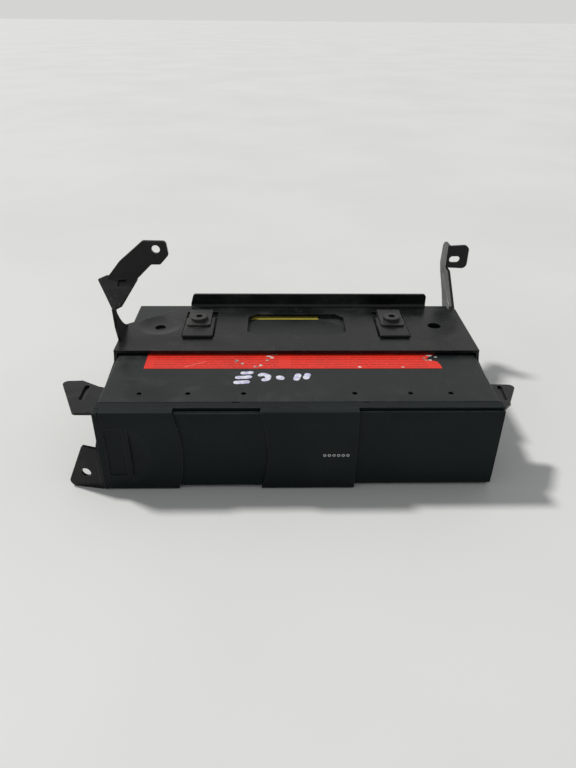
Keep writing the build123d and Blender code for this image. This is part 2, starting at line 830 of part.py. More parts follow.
with BuildPart() as mech_chassis:
    block((mech_left_x, mech_right_x), (front_wall[0], rear_wall[1]), (mech_base_z, mech_base_top))
    for y in (front_wall, rear_wall):
        block((mech_left_x, mech_right_x), y, (mech_base_z, mech_wall_top))
        block(
            (mech_left_x - sheet, link_x[1] + cam_travel + sheet),
            (y[0] - sheet, y[1] + sheet),
            (mech_base_top, link_low_z + link_thickness + run_gap),
            Mode.SUBTRACT,
        )
        with BuildSketch(Plane.XZ.offset(-y[0])):
            for x in pin_xs:
                with Locations((x, (pin_z + pin_top_z) / 2)):
                    SlotCenterToCenter(lift_travel, 2 * pin_slot, rotation=90)
        extrude(amount=-mech_plate, mode=Mode.SUBTRACT)
    for x in stud_xs:
        for y, head in ((front_wall[0], front_cam[0]), (rear_wall[1], rear_cam[1])):
            outward = 1 if head > y else -1
            rod((x, y, stud_z), (x, head + outward * run_gap, stud_z), pin_radius)
            head_start = (x, head + outward * run_gap / 2, stud_z)
            rod(head_start, (x, head + outward * (run_gap + sheet), stud_z), pin_radius + sheet)
    base_tail = (lift_screw_left_x - holder_width, mech_right_x)
    block(base_tail, (rear_wall[1], lift_row_y[1]), (mech_base_z, mech_base_top))
    for x in (lift_screw_left_x, lift_motor_left_x - mech_plate):
        post = (x, x + mech_plate)
        block(post, lift_row_y, (mech_base_top, lift_screw_z + small_motor_radius))
        hole = ((x - sheet, lift_screw_y, lift_screw_z), (x + 2 * mech_plate, lift_screw_y, lift_screw_z))
        rod(*hole, lift_screw_radius + bearing_gap, Mode.SUBTRACT)
mech_chassis.part.label = "mech_chassis"
export_step(mech_chassis.part, "parts/mech_chassis.step")

with BuildPart() as chassis_dampers:
    damper_ys = (case_front + ring_depth + damper_radius + sheet, rear_wall[0] - damper_radius)
    with Locations(
        *[(x, y, sheet) for x in (mech_left_x + damper_radius, mech_right_x - damper_radius) for y in damper_ys]
    ):
        Cylinder(damper_radius, mech_base_z - sheet, align=(Align.CENTER, Align.CENTER, Align.MIN))
chassis_dampers.part.label = "chassis_dampers"
export_step(chassis_dampers.part, "parts/chassis_dampers.step")

with BuildPart() as cam_slider:
    for y in (front_cam, rear_cam):
        block((cam_left_x, cam_right_x), y, (cam_low_z, cam_high_z))
        block(link_x, y, (link_low_z, cam_low_z))
        slot_angle = degrees(atan2(lift_travel, cam_travel))
        with BuildSketch(Plane.XZ.offset(-y[0])):
            for x in pin_xs:
                with Locations((x - cam_travel / 2, (pin_z + pin_top_z) / 2)):
                    SlotCenterToCenter(hypot(cam_travel, lift_travel), 2 * pin_slot, rotation=180 - slot_angle)
            for x in stud_xs:
                with Locations((x - cam_travel / 2, stud_z)):
                    SlotCenterToCenter(cam_travel, 2 * pin_slot)
        extrude(amount=-cam_plate, mode=Mode.SUBTRACT)
    block(link_x, (front_cam[0], rear_cam[1]), (link_low_z, link_low_z + link_thickness))
    lug_z = (lift_screw_z - holder_width, lift_screw_z + holder_width)
    block((nut_lug_x, nut_lug_x + nut_lug_width), (rear_cam[1], lift_screw_y + holder_width), lug_z)
    bore_start = (nut_lug_x - sheet, lift_screw_y, lift_screw_z)
    bore_end = (nut_lug_x + 2 * nut_lug_width, lift_screw_y, lift_screw_z)
    rod(bore_start, bore_end, lift_screw_radius + bearing_gap, Mode.SUBTRACT)
cam_slider.part.label = "cam_slider"
export_step(cam_slider.part, "parts/cam_slider.step")

with BuildPart() as lift_motor:
    motor_face = (lift_motor_left_x, lift_screw_y, lift_screw_z)
    rod(motor_face, (lift_motor_left_x + lift_motor_length, lift_screw_y, lift_screw_z), small_motor_radius)
    shaft_end = (lift_motor_left_x + sheet, lift_screw_y, lift_screw_z)
    rod(motor_face, shaft_end, lift_screw_radius + bearing_gap, Mode.SUBTRACT)
lift_motor.part.label = "lift_motor"
export_step(lift_motor.part, "parts/lift_motor.step")

with BuildPart() as lift_screw:
    screw_end = lift_motor_left_x + sheet - bearing_gap
    rod((lift_screw_left_x, lift_screw_y, lift_screw_z), (screw_end, lift_screw_y, lift_screw_z), lift_screw_radius)
lift_screw.part.label = "lift_screw"
export_step(lift_screw.part, "parts/lift_screw.step")

# ---------------------------------------------------------------- lift carriage
carriage_half = tray_half_depth
lead_y = mech_y + lead_screw_offset
hook_y = mech_y + hook_y_offset
rod_ys = (mech_y - rod_offset, mech_y + rod_offset)
rod_left_x = sled_left_x - run_gap - holder_width
window_right_x = sled_left_x + sled_length + sled_travel + run_gap
rod_right_x = window_right_x + holder_width
lead_motor_end = rod_left_x + sheet
transfer_motor_x = carriage_right_x - loading_motor_length
motor_half = small_motor_radius + fit_gap
bearing_low = screw_z - small_motor_radius

with BuildPart() as lift_carriage:
    block(
        (carriage_left_x, carriage_right_x),
        (mech_y - carriage_half, mech_y + carriage_half),
        (carriage_z, carriage_top),
    )
    cut_z = (carriage_z - sheet, carriage_top + sheet)
    window_y_range = (mech_y - sled_half_width - run_gap, lead_y + small_motor_radius + run_gap)
    block((sled_left_x - run_gap, window_right_x), window_y_range, cut_z, Mode.SUBTRACT)
    block(
        (lead_motor_end - sled_motor_length - fit_gap, sled_left_x),
        (lead_y - motor_half, lead_y + motor_half),
        cut_z,
        Mode.SUBTRACT,
    )
    block(
        (hook_left_x - run_gap, transfer_motor_x),
        (hook_y - hook_half_width - run_gap, hook_y + hook_half_width + run_gap),
        cut_z,
        Mode.SUBTRACT,
    )
    block(
        (transfer_motor_x - fit_gap, carriage_right_x + sheet),
        (hook_y - motor_half, hook_y + motor_half),
        cut_z,
        Mode.SUBTRACT,
    )
    for x in (rod_left_x, window_right_x):
        for y in rod_ys:
            holder_low = rod_z - rod_radius - sheet
            block((x, x + holder_width), (y - holder_width, y + holder_width), (holder_low, carriage_z))
    for y in rod_ys:
        rod((rod_left_x - sheet, y, rod_z), (rod_right_x + sheet, y, rod_z), rod_radius, Mode.SUBTRACT)
    lead_bearing = (lead_y - holder_width, lead_y + holder_width)
    block((window_right_x, rod_right_x), lead_bearing, (bearing_low, screw_z + holder_width))
    lead_hole = ((window_right_x - sheet, lead_y, screw_z), (rod_right_x + sheet, lead_y, screw_z))
    rod(*lead_hole, lead_screw_radius + bearing_gap, Mode.SUBTRACT)
    hook_bearing = (hook_y - holder_width, hook_y + holder_width)
    hook_bearing_right = hook_left_x - run_gap
    block((carriage_left_x, hook_bearing_right), hook_bearing, (bearing_low, screw_z + holder_width))
    hook_hole = ((carriage_left_x - sheet, hook_y, screw_z), (hook_bearing_right + sheet, hook_y, screw_z))
    rod(*hook_hole, transfer_screw_radius + bearing_gap, Mode.SUBTRACT)
    for x in pin_xs:
        for side in (-1, 1):
            y_inner = mech_y + side * (carriage_half - 2 * sheet)
            y_tip = mech_y + side * (cam_outer + bearing_gap)
            block(
                (x - 2 * pin_radius, x + 2 * pin_radius),
                sorted((y_inner, mech_y + side * (mech_half - run_gap))),
                (pin_z - pin_block_half, pin_z + pin_block_half),
            )
            rod((x, y_inner, pin_z), (x, y_tip, pin_z), pin_radius)
    shaft_bore = ((spindle_x, mech_y, carriage_z - sheet), (spindle_x, mech_y, carriage_top + sheet))
    rod(*shaft_bore, spindle_radius + bearing_gap, Mode.SUBTRACT)
lift_carriage.part.label = "lift_carriage"
export_step(lift_carriage.part, "parts/lift_carriage.step")

with BuildPart() as guide_rods:
    for y in rod_ys:
        rod((rod_left_x, y, rod_z), (rod_right_x, y, rod_z), rod_radius)
guide_rods.part.label = "guide_rods"
export_step(guide_rods.part, "parts/guide_rods.step")

with BuildPart() as sled_motor:
    lead_motor_start = (lead_motor_end - sled_motor_length, lead_y, screw_z)
    rod(lead_motor_start, (lead_motor_end, lead_y, screw_z), small_motor_radius)
    motor_mouth = ((lead_motor_end - sheet, lead_y, screw_z), (lead_motor_end, lead_y, screw_z))
    rod(*motor_mouth, lead_screw_radius + bearing_gap, Mode.SUBTRACT)
sled_motor.part.label = "sled_motor"
export_step(sled_motor.part, "parts/sled_motor.step")

with BuildPart() as lead_screw:
    lead_start = (lead_motor_end - sheet + bearing_gap, lead_y, screw_z)
    rod(lead_start, (rod_right_x, lead_y, screw_z), lead_screw_radius)
lead_screw.part.label = "lead_screw"
export_step(lead_screw.part, "parts/lead_screw.step")

with BuildPart() as pickup_sled:
    sled_x = (sled_left_x, sled_left_x + sled_length)
    sled_high_z = sled_low_z + sled_height
    block(sled_x, (mech_y - sled_half_width, mech_y + sled_half_width), (sled_low_z, sled_high_z))
    arm_low = screw_z - 2 * lead_screw_radius
    block(
        (sled_x[0], sled_x[0] + 2 * holder_width),
        (mech_y + sled_half_width, lead_y + small_motor_radius),
        (arm_low, sled_high_z),
    )
    for y in rod_ys:
        sled_bore = ((sled_x[0] - sheet, y, rod_z), (sled_x[1] + sheet, y, rod_z))
        rod(*sled_bore, rod_radius + bearing_gap, Mode.SUBTRACT)
    arm_bore = ((sled_x[0] - sheet, lead_y, screw_z), (sled_x[1] + sheet, lead_y, screw_z))
    rod(*arm_bore, lead_screw_radius + bearing_gap, Mode.SUBTRACT)
pickup_sled.part.label = "pickup_sled"
export_step(pickup_sled.part, "parts/pickup_sled.step")

with BuildPart() as objective_lens:
    rod((lens_x, mech_y, sled_high_z), (lens_x, mech_y, sled_high_z + sheet), lens_radius)
    fillet(objective_lens.faces().sort_by(Axis.Z)[-1].edges(), lens_round)
objective_lens.part.label = "objective_lens"
export_step(objective_lens.part, "parts/objective_lens.step")

with BuildPart() as spindle_motor:
    motor_bottom = carriage_z - spindle_motor_height
    rod((spindle_x, mech_y, motor_bottom), (spindle_x, mech_y, carriage_z), spindle_motor_radius)
    shaft_pit = ((spindle_x, mech_y, carriage_z - sheet), (spindle_x, mech_y, carriage_z))
    rod(*shaft_pit, spindle_radius + bearing_gap, Mode.SUBTRACT)
spindle_motor.part.label = "spindle_motor"
export_step(spindle_motor.part, "parts/spindle_motor.step")

with BuildPart() as turntable:
    turntable_top = turntable_z + turntable_height
    rod((spindle_x, mech_y, turntable_z), (spindle_x, mech_y, turntable_top), turntable_radius)
    with Locations((spindle_x, mech_y, turntable_top)):
        Cone(cone_radius, cone_tip_radius, cone_height, align=(Align.CENTER, Align.CENTER, Align.MIN))
    shaft_foot = (spindle_x, mech_y, carriage_z - sheet + bearing_gap)
    rod(shaft_foot, (spindle_x, mech_y, turntable_z), spindle_radius)
turntable.part.label = "turntable"
export_step(turntable.part, "parts/turntable.step")

puck_z = turntable_top + clamp_gap
arm_z = puck_z + clamp_puck_height + run_gap
with BuildPart() as clamp_arm:
    arm_half = clamp_arm_width / 2
    tower_x = (carriage_right_x - clamp_arm_plate, carriage_right_x)
    arm_y = (mech_y - arm_half, mech_y + arm_half)
    block((spindle_x - arm_half, carriage_right_x), arm_y, (arm_z, arm_z + clamp_arm_plate))
    block(tower_x, arm_y, (carriage_top, arm_z))
    neck_hole = ((spindle_x, mech_y, arm_z - sheet), (spindle_x, mech_y, arm_z + 2 * clamp_arm_plate))
    rod(*neck_hole, clamp_neck_radius + bearing_gap, Mode.SUBTRACT)
clamp_arm.part.label = "clamp_arm"
export_step(clamp_arm.part, "parts/clamp_arm.step")

with BuildPart() as clamp_puck:
    cap_z = arm_z + clamp_arm_plate + run_gap
    rod((spindle_x, mech_y, puck_z), (spindle_x, mech_y, puck_z + clamp_puck_height), clamp_radius)
    rod((spindle_x, mech_y, puck_z), (spindle_x, mech_y, cap_z), clamp_neck_radius)
    rod((spindle_x, mech_y, cap_z), (spindle_x, mech_y, cap_z + sheet), clamp_neck_radius + 2 * sheet)
clamp_puck.part.label = "clamp_puck"
export_step(clamp_puck.part, "parts/clamp_puck.step")

with BuildPart() as tray_hook:
    hook_x = (hook_left_x, hook_left_x + hook_length)
    block(hook_x, (hook_y - hook_half_width, hook_y + hook_half_width), (bearing_low, carriage_top + 2 * sheet))
    block(
        (hook_x[0], hook_x[0] + guide_thickness),
        (hook_y - hook_half_width, hook_y + hook_half_width),
        (carriage_top, tray_z - run_gap),
    )
    hook_bore = ((hook_x[0] - sheet, hook_y, screw_z), (hook_x[1] + sheet, hook_y, screw_z))
    rod(*hook_bore, transfer_screw_radius + bearing_gap, Mode.SUBTRACT)
tray_hook.part.label = "tray_hook"
export_step(tray_hook.part, "parts/tray_hook.step")

with BuildPart() as loading_motor:
    rod((transfer_motor_x, hook_y, screw_z), (carriage_right_x, hook_y, screw_z), small_motor_radius)
    loading_mouth = ((transfer_motor_x, hook_y, screw_z), (transfer_motor_x + sheet, hook_y, screw_z))
    rod(*loading_mouth, transfer_screw_radius + bearing_gap, Mode.SUBTRACT)
loading_motor.part.label = "loading_motor"
export_step(loading_motor.part, "parts/loading_motor.step")

with BuildPart() as transfer_screw:
    transfer_end = (transfer_motor_x + sheet - bearing_gap, hook_y, screw_z)
    rod((carriage_left_x, hook_y, screw_z), transfer_end, transfer_screw_radius)
transfer_screw.part.label = "transfer_screw"
export_step(transfer_screw.part, "parts/transfer_screw.step")

# ---------------------------------------------------------------- electronics
board_top = board_low_z + main_board_thickness
board_x = (rail_left[1] + sheet, rail_right[1] - 2 * guide_thickness)
board_y = (guide_y[0], case_rear - sheet - run_gap)
with BuildPart() as main_board:
    block(board_x, board_y, (board_low_z, board_top))
main_board.part.label = "main_board"
export_step(main_board.part, "parts/main_board.step")

with BuildPart() as board_parts:
    standing = (Align.CENTER, Align.CENTER, Align.MIN)
    for across in (-1, 1):
        for along in (-1, 1):
            chip_x = chip_centre[0] + across * chip_spread[0]
            with Locations((chip_x, chip_centre[1] + along * chip_spread[1], board_top)):
                Box(chip_size, chip_size, chip_height, align=standing)
        with Locations((plug_block_centre[0] + across * plug_block_spread, plug_block_centre[1], board_top)):
            Box(*plug_block, align=standing)
    for index in range(capacitor_count):
        capacitor_x = capacitor_centre[0] + (index - (capacitor_count - 1) / 2) * capacitor_pitch
        with Locations((capacitor_x, capacitor_centre[1], board_top)):
            Cylinder(capacitor_radius, capacitor_height, align=standing)
board_parts.part.label = "board_parts"
export_step(board_parts.part, "parts/board_parts.step")

with BuildPart() as rear_socket:
    socket_rear = case_rear + fit_gap * 4
    socket_front = socket_rear - socket_depth
    socket_x_range = (socket_x - socket_width / 2, socket_x + socket_width / 2)
    block(socket_x_range, (socket_front, socket_rear), (board_top, board_top + socket_height))
    cavity_front = socket_front + 2 * socket_wall
    block(
        (socket_x_range[0] + socket_wall, socket_x_range[1] - socket_wall),
        (cavity_front, socket_rear + sheet),
        (board_top + socket_wall, board_top + socket_height - socket_wall),
        Mode.SUBTRACT,
    )
rear_socket.part.label = "rear_socket"
export_step(rear_socket.part, "parts/rear_socket.step")

with BuildPart() as socket_pins:
    pins_per_row = socket_pin_count // 2
    pin_pitch = (socket_width - 4 * socket_wall) / pins_per_row
    pin_width = pin_pitch / 4
    for row_z in (board_top + socket_height / 3, board_top + 2 * socket_height / 3):
        for index in range(pins_per_row):
            x = socket_x + (index - (pins_per_row - 1) / 2) * pin_pitch
            block(
                (x - pin_width / 2, x + pin_width / 2),
                (cavity_front, socket_rear - 2 * socket_wall),
                (row_z - pin_width / 2, row_z + pin_width / 2),
            )
socket_pins.part.label = "socket_pins"
export_step(socket_pins.part, "parts/socket_pins.step")

# ---------------------------------------------------------------- bracket
def corners_at(sketch, points):
    """The corners of a sketch that lie at the given points of its plane."""
    places = [(round(x, 3), round(y, 3)) for x, y in points]
    return [corner for corner in sketch.vertices() if (round(corner.X, 3), round(corner.Y, 3)) in places]


def sheet_piece(plane, outline, thickness, radius, wide=(), wide_radius=0.0):
    """Flat piece of sheet steel with rounded corners, those at the places in wide by the wider radius."""
    wide_points = [outline[place] for place in wide]
    with BuildSketch(plane) as blank:
        with BuildLine():
            Polyline(*outline, close=True)
        make_face()
        if wide_points:
            fillet(corners_at(blank, wide_points), wide_radius)
        fillet(corners_at(blank, [point for point in outline if point not in wide_points]), radius)
    return extrude(blank.sketch, amount=thickness)


def outward(points, side):
    """Points given from the bracket's inner face outward, turned into places along X."""
    return [(side * (plate_inner_x + distance), along) for distance, along in points]


def raised(points):
    """Points whose second number is a height above the plate, turned into heights along Z."""
    return [(along, plate_top_z + height) for along, height in points]


with BuildPart() as bracket_plate:
    with BuildSketch(Plane.XY.offset(plate_under_z)):
        with BuildLine():
            Polyline(
                (-bracket_half_width, plate_front_y),
                (bracket_half_width, plate_front_y),
                (bracket_half_width, plate_right_rear_y),
                (plate_notch_x, plate_right_rear_y),
                (plate_notch_x, bend_start_y),
                (bend_start_x, bend_start_y),
                (-bracket_half_width, plate_left_rear_y),
                close=True,
            )
        make_face()
        with BuildLine():
            across = window_width / 2
            along = window_depth / 2
            Polyline(
                (window_x - across + window_chamfer, window_y - along),
                (window_x + across - window_chamfer, window_y - along),
                (window_x + across, window_y - along + window_chamfer),
                (window_x + across, window_y + along - window_chamfer),
                (window_x + across - window_chamfer, window_y + along),
                (window_x - across + window_chamfer, window_y + along),
                (window_x - across, window_y + along - window_chamfer),
                (window_x - across, window_y - along + window_chamfer),
                close=True,
            )
        make_face(mode=Mode.SUBTRACT)
        with Locations((right_hole_x, plate_hole_y)):
            Circle(right_hole_radius, mode=Mode.SUBTRACT)
        with Locations((dimple_x, dimple_y)):
            Circle(dimple_radius, mode=Mode.SUBTRACT)
        opening_y = (tongue_front_y + steel, tongue_opening_rear_y)
        with Locations(*[(side * tongue_x, sum(opening_y) / 2) for side in (-1, 1)]):
            Rectangle(2 * (tongue_half + tongue_slit), opening_y[1] - opening_y[0], mode=Mode.SUBTRACT)
    extrude(amount=steel)
    with BuildSketch(Plane.XZ.offset(-dimple_y)) as dish:
        with BuildLine():
            foot_of_slope = [
                (dimple_x + dimple_flat_radius, plate_top_z - dimple_depth),
                (dimple_x + dimple_flat_radius, plate_under_z - dimple_depth),
            ]
            Polyline(
                (dimple_x, plate_top_z - dimple_depth),
                foot_of_slope[0],
                (dimple_x + dimple_radius, plate_top_z),
                (dimple_x + dimple_radius, plate_under_z),
                foot_of_slope[1],
                (dimple_x, plate_under_z - dimple_depth),
                close=True,
            )
        make_face()
        fillet(corners_at(dish, foot_of_slope), dimple_round)
    revolve(axis=Axis((dimple_x, dimple_y, 0), (0, 0, 1)))
    stud_hole = ((dimple_x, plate_hole_y, case_height), (dimple_x, plate_hole_y, plate_top_z))
    rod(*stud_hole, dimple_hole_radius, Mode.SUBTRACT)
bracket_plate.part.label = "bracket_plate"
export_step(bracket_plate.part, "parts/bracket_plate.step")

with BuildPart() as rear_flange:
    with BuildSketch(Plane.YZ.offset(plate_corner_x)) as flange_section:
        with BuildLine():
            flange_top_z = plate_top_z + upstand_height
            Polyline(
                (bend_start_y, plate_under_z),
                (bend_start_y, plate_top_z),
                (plate_rear_y - steel, plate_top_z),
                (plate_rear_y - steel, flange_top_z),
                (plate_rear_y, flange_top_z),
                (plate_rear_y, plate_under_z),
                close=True,
            )
        make_face()
        levels = flange_section.vertices().group_by(Axis.Y)
        fillet(levels[1].sort_by(Axis.X)[-1], flange_bend)
        fillet(flange_section.vertices().group_by(Axis.Y)[0].sort_by(Axis.X)[-1], flange_bend + steel)
    extrude(amount=plate_notch_x - plate_corner_x)
    with BuildSketch(Plane.XZ.offset(-plate_rear_y)):
        with BuildLine():
            Polyline(
                (plate_corner_x, plate_top_z + flange_bend),
                (plate_corner_x + upstand_lean, flange_top_z),
                (plate_corner_x, flange_top_z),
                close=True,
            )
        make_face()
    extrude(amount=steel, mode=Mode.SUBTRACT)
    fillet(rear_flange.edges().filter_by(Axis.Y).group_by(Axis.Z)[-1], upstand_round)
rear_flange.part.label = "rear_flange"
export_step(rear_flange.part, "parts/rear_flange.step")

with BuildPart() as plate_tongues:
    for side in (-1, 1):
        tongue_range = (side * tongue_x - tongue_half, side * tongue_x + tongue_half)
        block(tongue_range, (tongue_front_y, tongue_rear_y), (plate_top_z, tongue_top_z))
        bolt_hole = ((side * clip_x, boss_y, plate_top_z), (side * clip_x, boss_y, tongue_top_z))
        rod(*bolt_hole, clip_clearance, Mode.SUBTRACT)
    fillet(plate_tongues.edges().filter_by(Axis.Z).group_by(Axis.Y)[0], tongue_corner)
    tongue_rims = plate_tongues.faces().sort_by(Axis.Z)[-2:].edges().filter_by(Axis.X).group_by(Axis.Y)[0]
    fillet(tongue_rims, tongue_round)
plate_tongues.part.label = "plate_tongues"
export_step(plate_tongues.part, "parts/plate_tongues.step")

with BuildPart() as captive_nuts:
    for side in (-1, 1):
        clip_range = (side * clip_x - clip_half, side * clip_x + clip_half)
        block(clip_range, (clip_front_y, clip_rear_y), (tongue_top_z, clip_top_z))
        block(clip_range, (clip_rear_y - clip_steel, clip_rear_y), (plate_top_z - clip_steel, clip_top_z))
        block(clip_range, (clip_grip_y, clip_rear_y), (plate_top_z - clip_steel, plate_top_z))
    fillet(captive_nuts.edges().filter_by(Axis.Z).group_by(Axis.Y)[0], clip_corner)
    fillet(captive_nuts.edges().filter_by(Axis.X).group_by(Axis.Y)[-1], clip_steel - fit_gap)
    for side in (-1, 1):
        rod((side * clip_x, boss_y, clip_top_z), (side * clip_x, boss_y, boss_top_z), boss_radius)
    boss_edges = captive_nuts.faces().sort_by(Axis.Z)[-2:].edges()
    fillet(boss_edges, boss_rim)
    for side in (-1, 1):
        bore = ((side * clip_x, boss_y, tongue_top_z), (side * clip_x, boss_y, boss_top_z))
        rod(*bore, boss_bore, Mode.SUBTRACT)
        grip_hole = ((side * clip_x, boss_y, plate_top_z - clip_steel), (side * clip_x, boss_y, plate_top_z))
        rod(*grip_hole, clip_clearance, Mode.SUBTRACT)
captive_nuts.part.label = "captive_nuts"
export_step(captive_nuts.part, "parts/captive_nuts.step")

ear_plane = Plane.XY.offset(ear_top_z - steel)
shoulder = [
    (ear_rear_y, ear_top_z),
    (shoulder_y, shoulder_z),
    (plate_front_y, plate_under_z),
]
with BuildPart() as left_side_plate:
    left_side_outline = [
        *left_side_front,
        (ear_front_y, ear_top_z),
        *shoulder,
        (plate_left_rear_y, plate_under_z),
        (plate_left_rear_y, side_low_z),
        *left_side_foot,
    ]
    add(sheet_piece(Plane.YZ.offset(-bracket_half_width), left_side_outline, steel, sheet))
    add(sheet_piece(ear_plane, outward(left_ear_outline, -1), steel, sheet, (1, 2), ear_round))
    tilt = radians(foot_angle)
    foot_plane = Plane(
        origin=(-plate_inner_x, left_side_front[0][0], 0),
        x_dir=(-cos(tilt), sin(tilt), 0),
        z_dir=(sin(tilt), cos(tilt), 0),
    )
    add(sheet_piece(foot_plane, foot_outline, steel, sheet, (3,), foot_round))
    with BuildSketch(foot_plane):
        with Locations(foot_hole):
            Circle(foot_hole_radius)
    extrude(amount=steel, mode=Mode.SUBTRACT)
    with BuildSketch(ear_plane):
        with Locations(*outward([left_slot_centre], -1)):
            SlotOverall(ear_slot_length, ear_slot_width, rotation=90)
    extrude(amount=steel, mode=Mode.SUBTRACT)
    for y in screw_ys:
        hole_start = (-bracket_half_width - sheet, y, screw_z_level)
        rod(hole_start, (-plate_inner_x + sheet, y, screw_z_level), screw_radius + run_gap, Mode.SUBTRACT)
left_side_plate.part.label = "left_side_plate"
export_step(left_side_plate.part, "parts/left_side_plate.step")

with BuildPart() as right_side_plate:
    right_side_outline = [
        right_side_low,
        (right_side_low[0], ear_top_z),
        *shoulder,
        (plate_right_rear_y, plate_under_z),
        (plate_right_rear_y, side_low_z),
        (right_side_foot_y, side_low_z),
    ]
    add(sheet_piece(Plane.YZ.offset(plate_inner_x), right_side_outline, steel, sheet))
    add(sheet_piece(ear_plane, outward(right_ear_outline, 1), steel, sheet, (1,), ear_round))
    with BuildSketch(ear_plane):
        with Locations(*outward([right_slot_centre], 1)):
            SlotOverall(ear_slot_length, ear_slot_width, rotation=right_slot_turn)
    extrude(amount=steel, mode=Mode.SUBTRACT)
    for y in screw_ys:
        hole_start = (plate_inner_x - sheet, y, screw_z_level)
        rod(hole_start, (bracket_half_width + sheet, y, screw_z_level), screw_radius + run_gap, Mode.SUBTRACT)
right_side_plate.part.label = "right_side_plate"
export_step(right_side_plate.part, "parts/right_side_plate.step")

with BuildPart() as left_arm:
    with BuildSketch(Plane.YZ.offset(-bracket_half_width)):
        with BuildLine():
            riser_points = raised(riser_outline)
            curve_points = raised(riser_curve)
            Polyline(*riser_points, curve_points[0])
            ThreePointArc(*curve_points)
            Line(curve_points[2], riser_points[0])
        make_face()
    extrude(amount=steel)
    slope = radians(arm_slope)
    leaf_plane = Plane(
        origin=(0, leaf_origin_y, plate_top_z + leaf_origin_rise),
        x_dir=(1, 0, 0),
        z_dir=(0, -sin(slope), cos(slope)),
    )
    add(sheet_piece(leaf_plane, outward(leaf_outline, -1), -steel, sheet))
    with BuildSketch(leaf_plane):
        with Locations(*outward([leaf_square_centre], -1)):
            Rectangle(arm_square, arm_square)
    extrude(amount=-steel, mode=Mode.SUBTRACT)
    left_tab_plane = Plane.XZ.offset(-left_tab_y)
    left_tab = raised(outward(left_tab_outline, -1))
    add(sheet_piece(left_tab_plane, left_tab, steel, sheet, (2, 3, 4), left_tab_round))
    with BuildSketch(left_tab_plane):
        with Locations(*raised(outward([left_bolt_centre], -1))):
            Circle(left_bolt_radius)
    extrude(amount=steel, mode=Mode.SUBTRACT)
left_arm.part.label = "left_arm"
export_step(left_arm.part, "parts/left_arm.step")

with BuildPart() as right_arm:
    add(sheet_piece(Plane.YZ.offset(plate_inner_x), raised(right_arm_outline), steel, sheet))
    right_tab_plane = Plane.XZ.offset(-right_tab_y)
    right_tab = raised(outward(right_tab_outline, 1))
    add(sheet_piece(right_tab_plane, right_tab, steel, sheet, (1, 2), right_tab_round))
    with BuildSketch(right_tab_plane):
        with Locations(*raised(outward([right_slot_place], 1))):
            SlotOverall(right_slot_length, 2 * right_slot_radius)
    extrude(amount=steel, mode=Mode.SUBTRACT)
    crease = [(plate_inner_x, *point) for point in raised(crease_line)]
    rod(*crease, crease_radius, Mode.SUBTRACT)
right_arm.part.label = "right_arm"
export_step(right_arm.part, "parts/right_arm.step")

with BuildPart() as bracket_screws:
    for side in (-1, 1):
        for y in screw_ys:
            face = (side * bracket_half_width, y, screw_z_level)
            rod((side * (case_inner - run_gap), y, screw_z_level), face, screw_radius)
            crown = (side * (bracket_half_width + screw_head_height), y, screw_z_level)
            rod(face, crown, screw_head_radius)
            recess = (side * (bracket_half_width + sheet), y, screw_z_level)
            rod(recess, crown, screw_recess_radius, Mode.SUBTRACT)
bracket_screws.part.label = "bracket_screws"
export_step(bracket_screws.part, "parts/bracket_screws.step")

# ---------------------------------------------------------------- labels
with BuildPart() as top_label:
    block(
        (label_left_x, label_right_x),
        (label_front_y, label_front_y + label_depth),
        (case_height, case_height + label_thickness),
    )
top_label.part.label = "top_label"
export_step(top_label.part, "parts/top_label.step")

with BuildPart() as code_label:
    block(
        (code_label_left_x, code_label_left_x + code_label_width),
        (code_label_front_y, code_label_front_y + code_label_depth),
        (case_height, case_height + label_thickness),
    )
code_label.part.label = "code_label"
export_step(code_label.part, "parts/code_label.step")
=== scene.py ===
import math
import random

import bpy
from mathutils import Matrix, Vector


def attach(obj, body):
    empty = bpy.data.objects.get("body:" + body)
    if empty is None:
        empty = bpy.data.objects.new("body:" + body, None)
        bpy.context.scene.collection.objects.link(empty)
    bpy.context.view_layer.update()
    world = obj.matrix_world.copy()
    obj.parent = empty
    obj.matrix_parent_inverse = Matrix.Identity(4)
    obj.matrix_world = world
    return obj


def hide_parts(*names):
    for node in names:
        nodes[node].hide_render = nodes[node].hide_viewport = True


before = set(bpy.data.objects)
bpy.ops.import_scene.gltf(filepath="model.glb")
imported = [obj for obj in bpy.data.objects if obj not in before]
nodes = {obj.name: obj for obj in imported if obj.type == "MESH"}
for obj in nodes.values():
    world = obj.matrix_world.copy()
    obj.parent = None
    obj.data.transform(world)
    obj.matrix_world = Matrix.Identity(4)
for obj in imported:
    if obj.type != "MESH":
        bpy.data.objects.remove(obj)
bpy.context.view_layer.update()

MM = 0.001                 # pieces are written in millimetres, the frame is in metres

COVER_TOP = 59.7           # height of the cover's upper face
FILM_THICK = 0.15          # thickness of both label films
FRONT_DARK = (0.0048, 0.0085, 0.0086)
FRONT_LIGHT = (0.0082, 0.0128, 0.0128)
FRONT_ROUGHNESS = 0.50


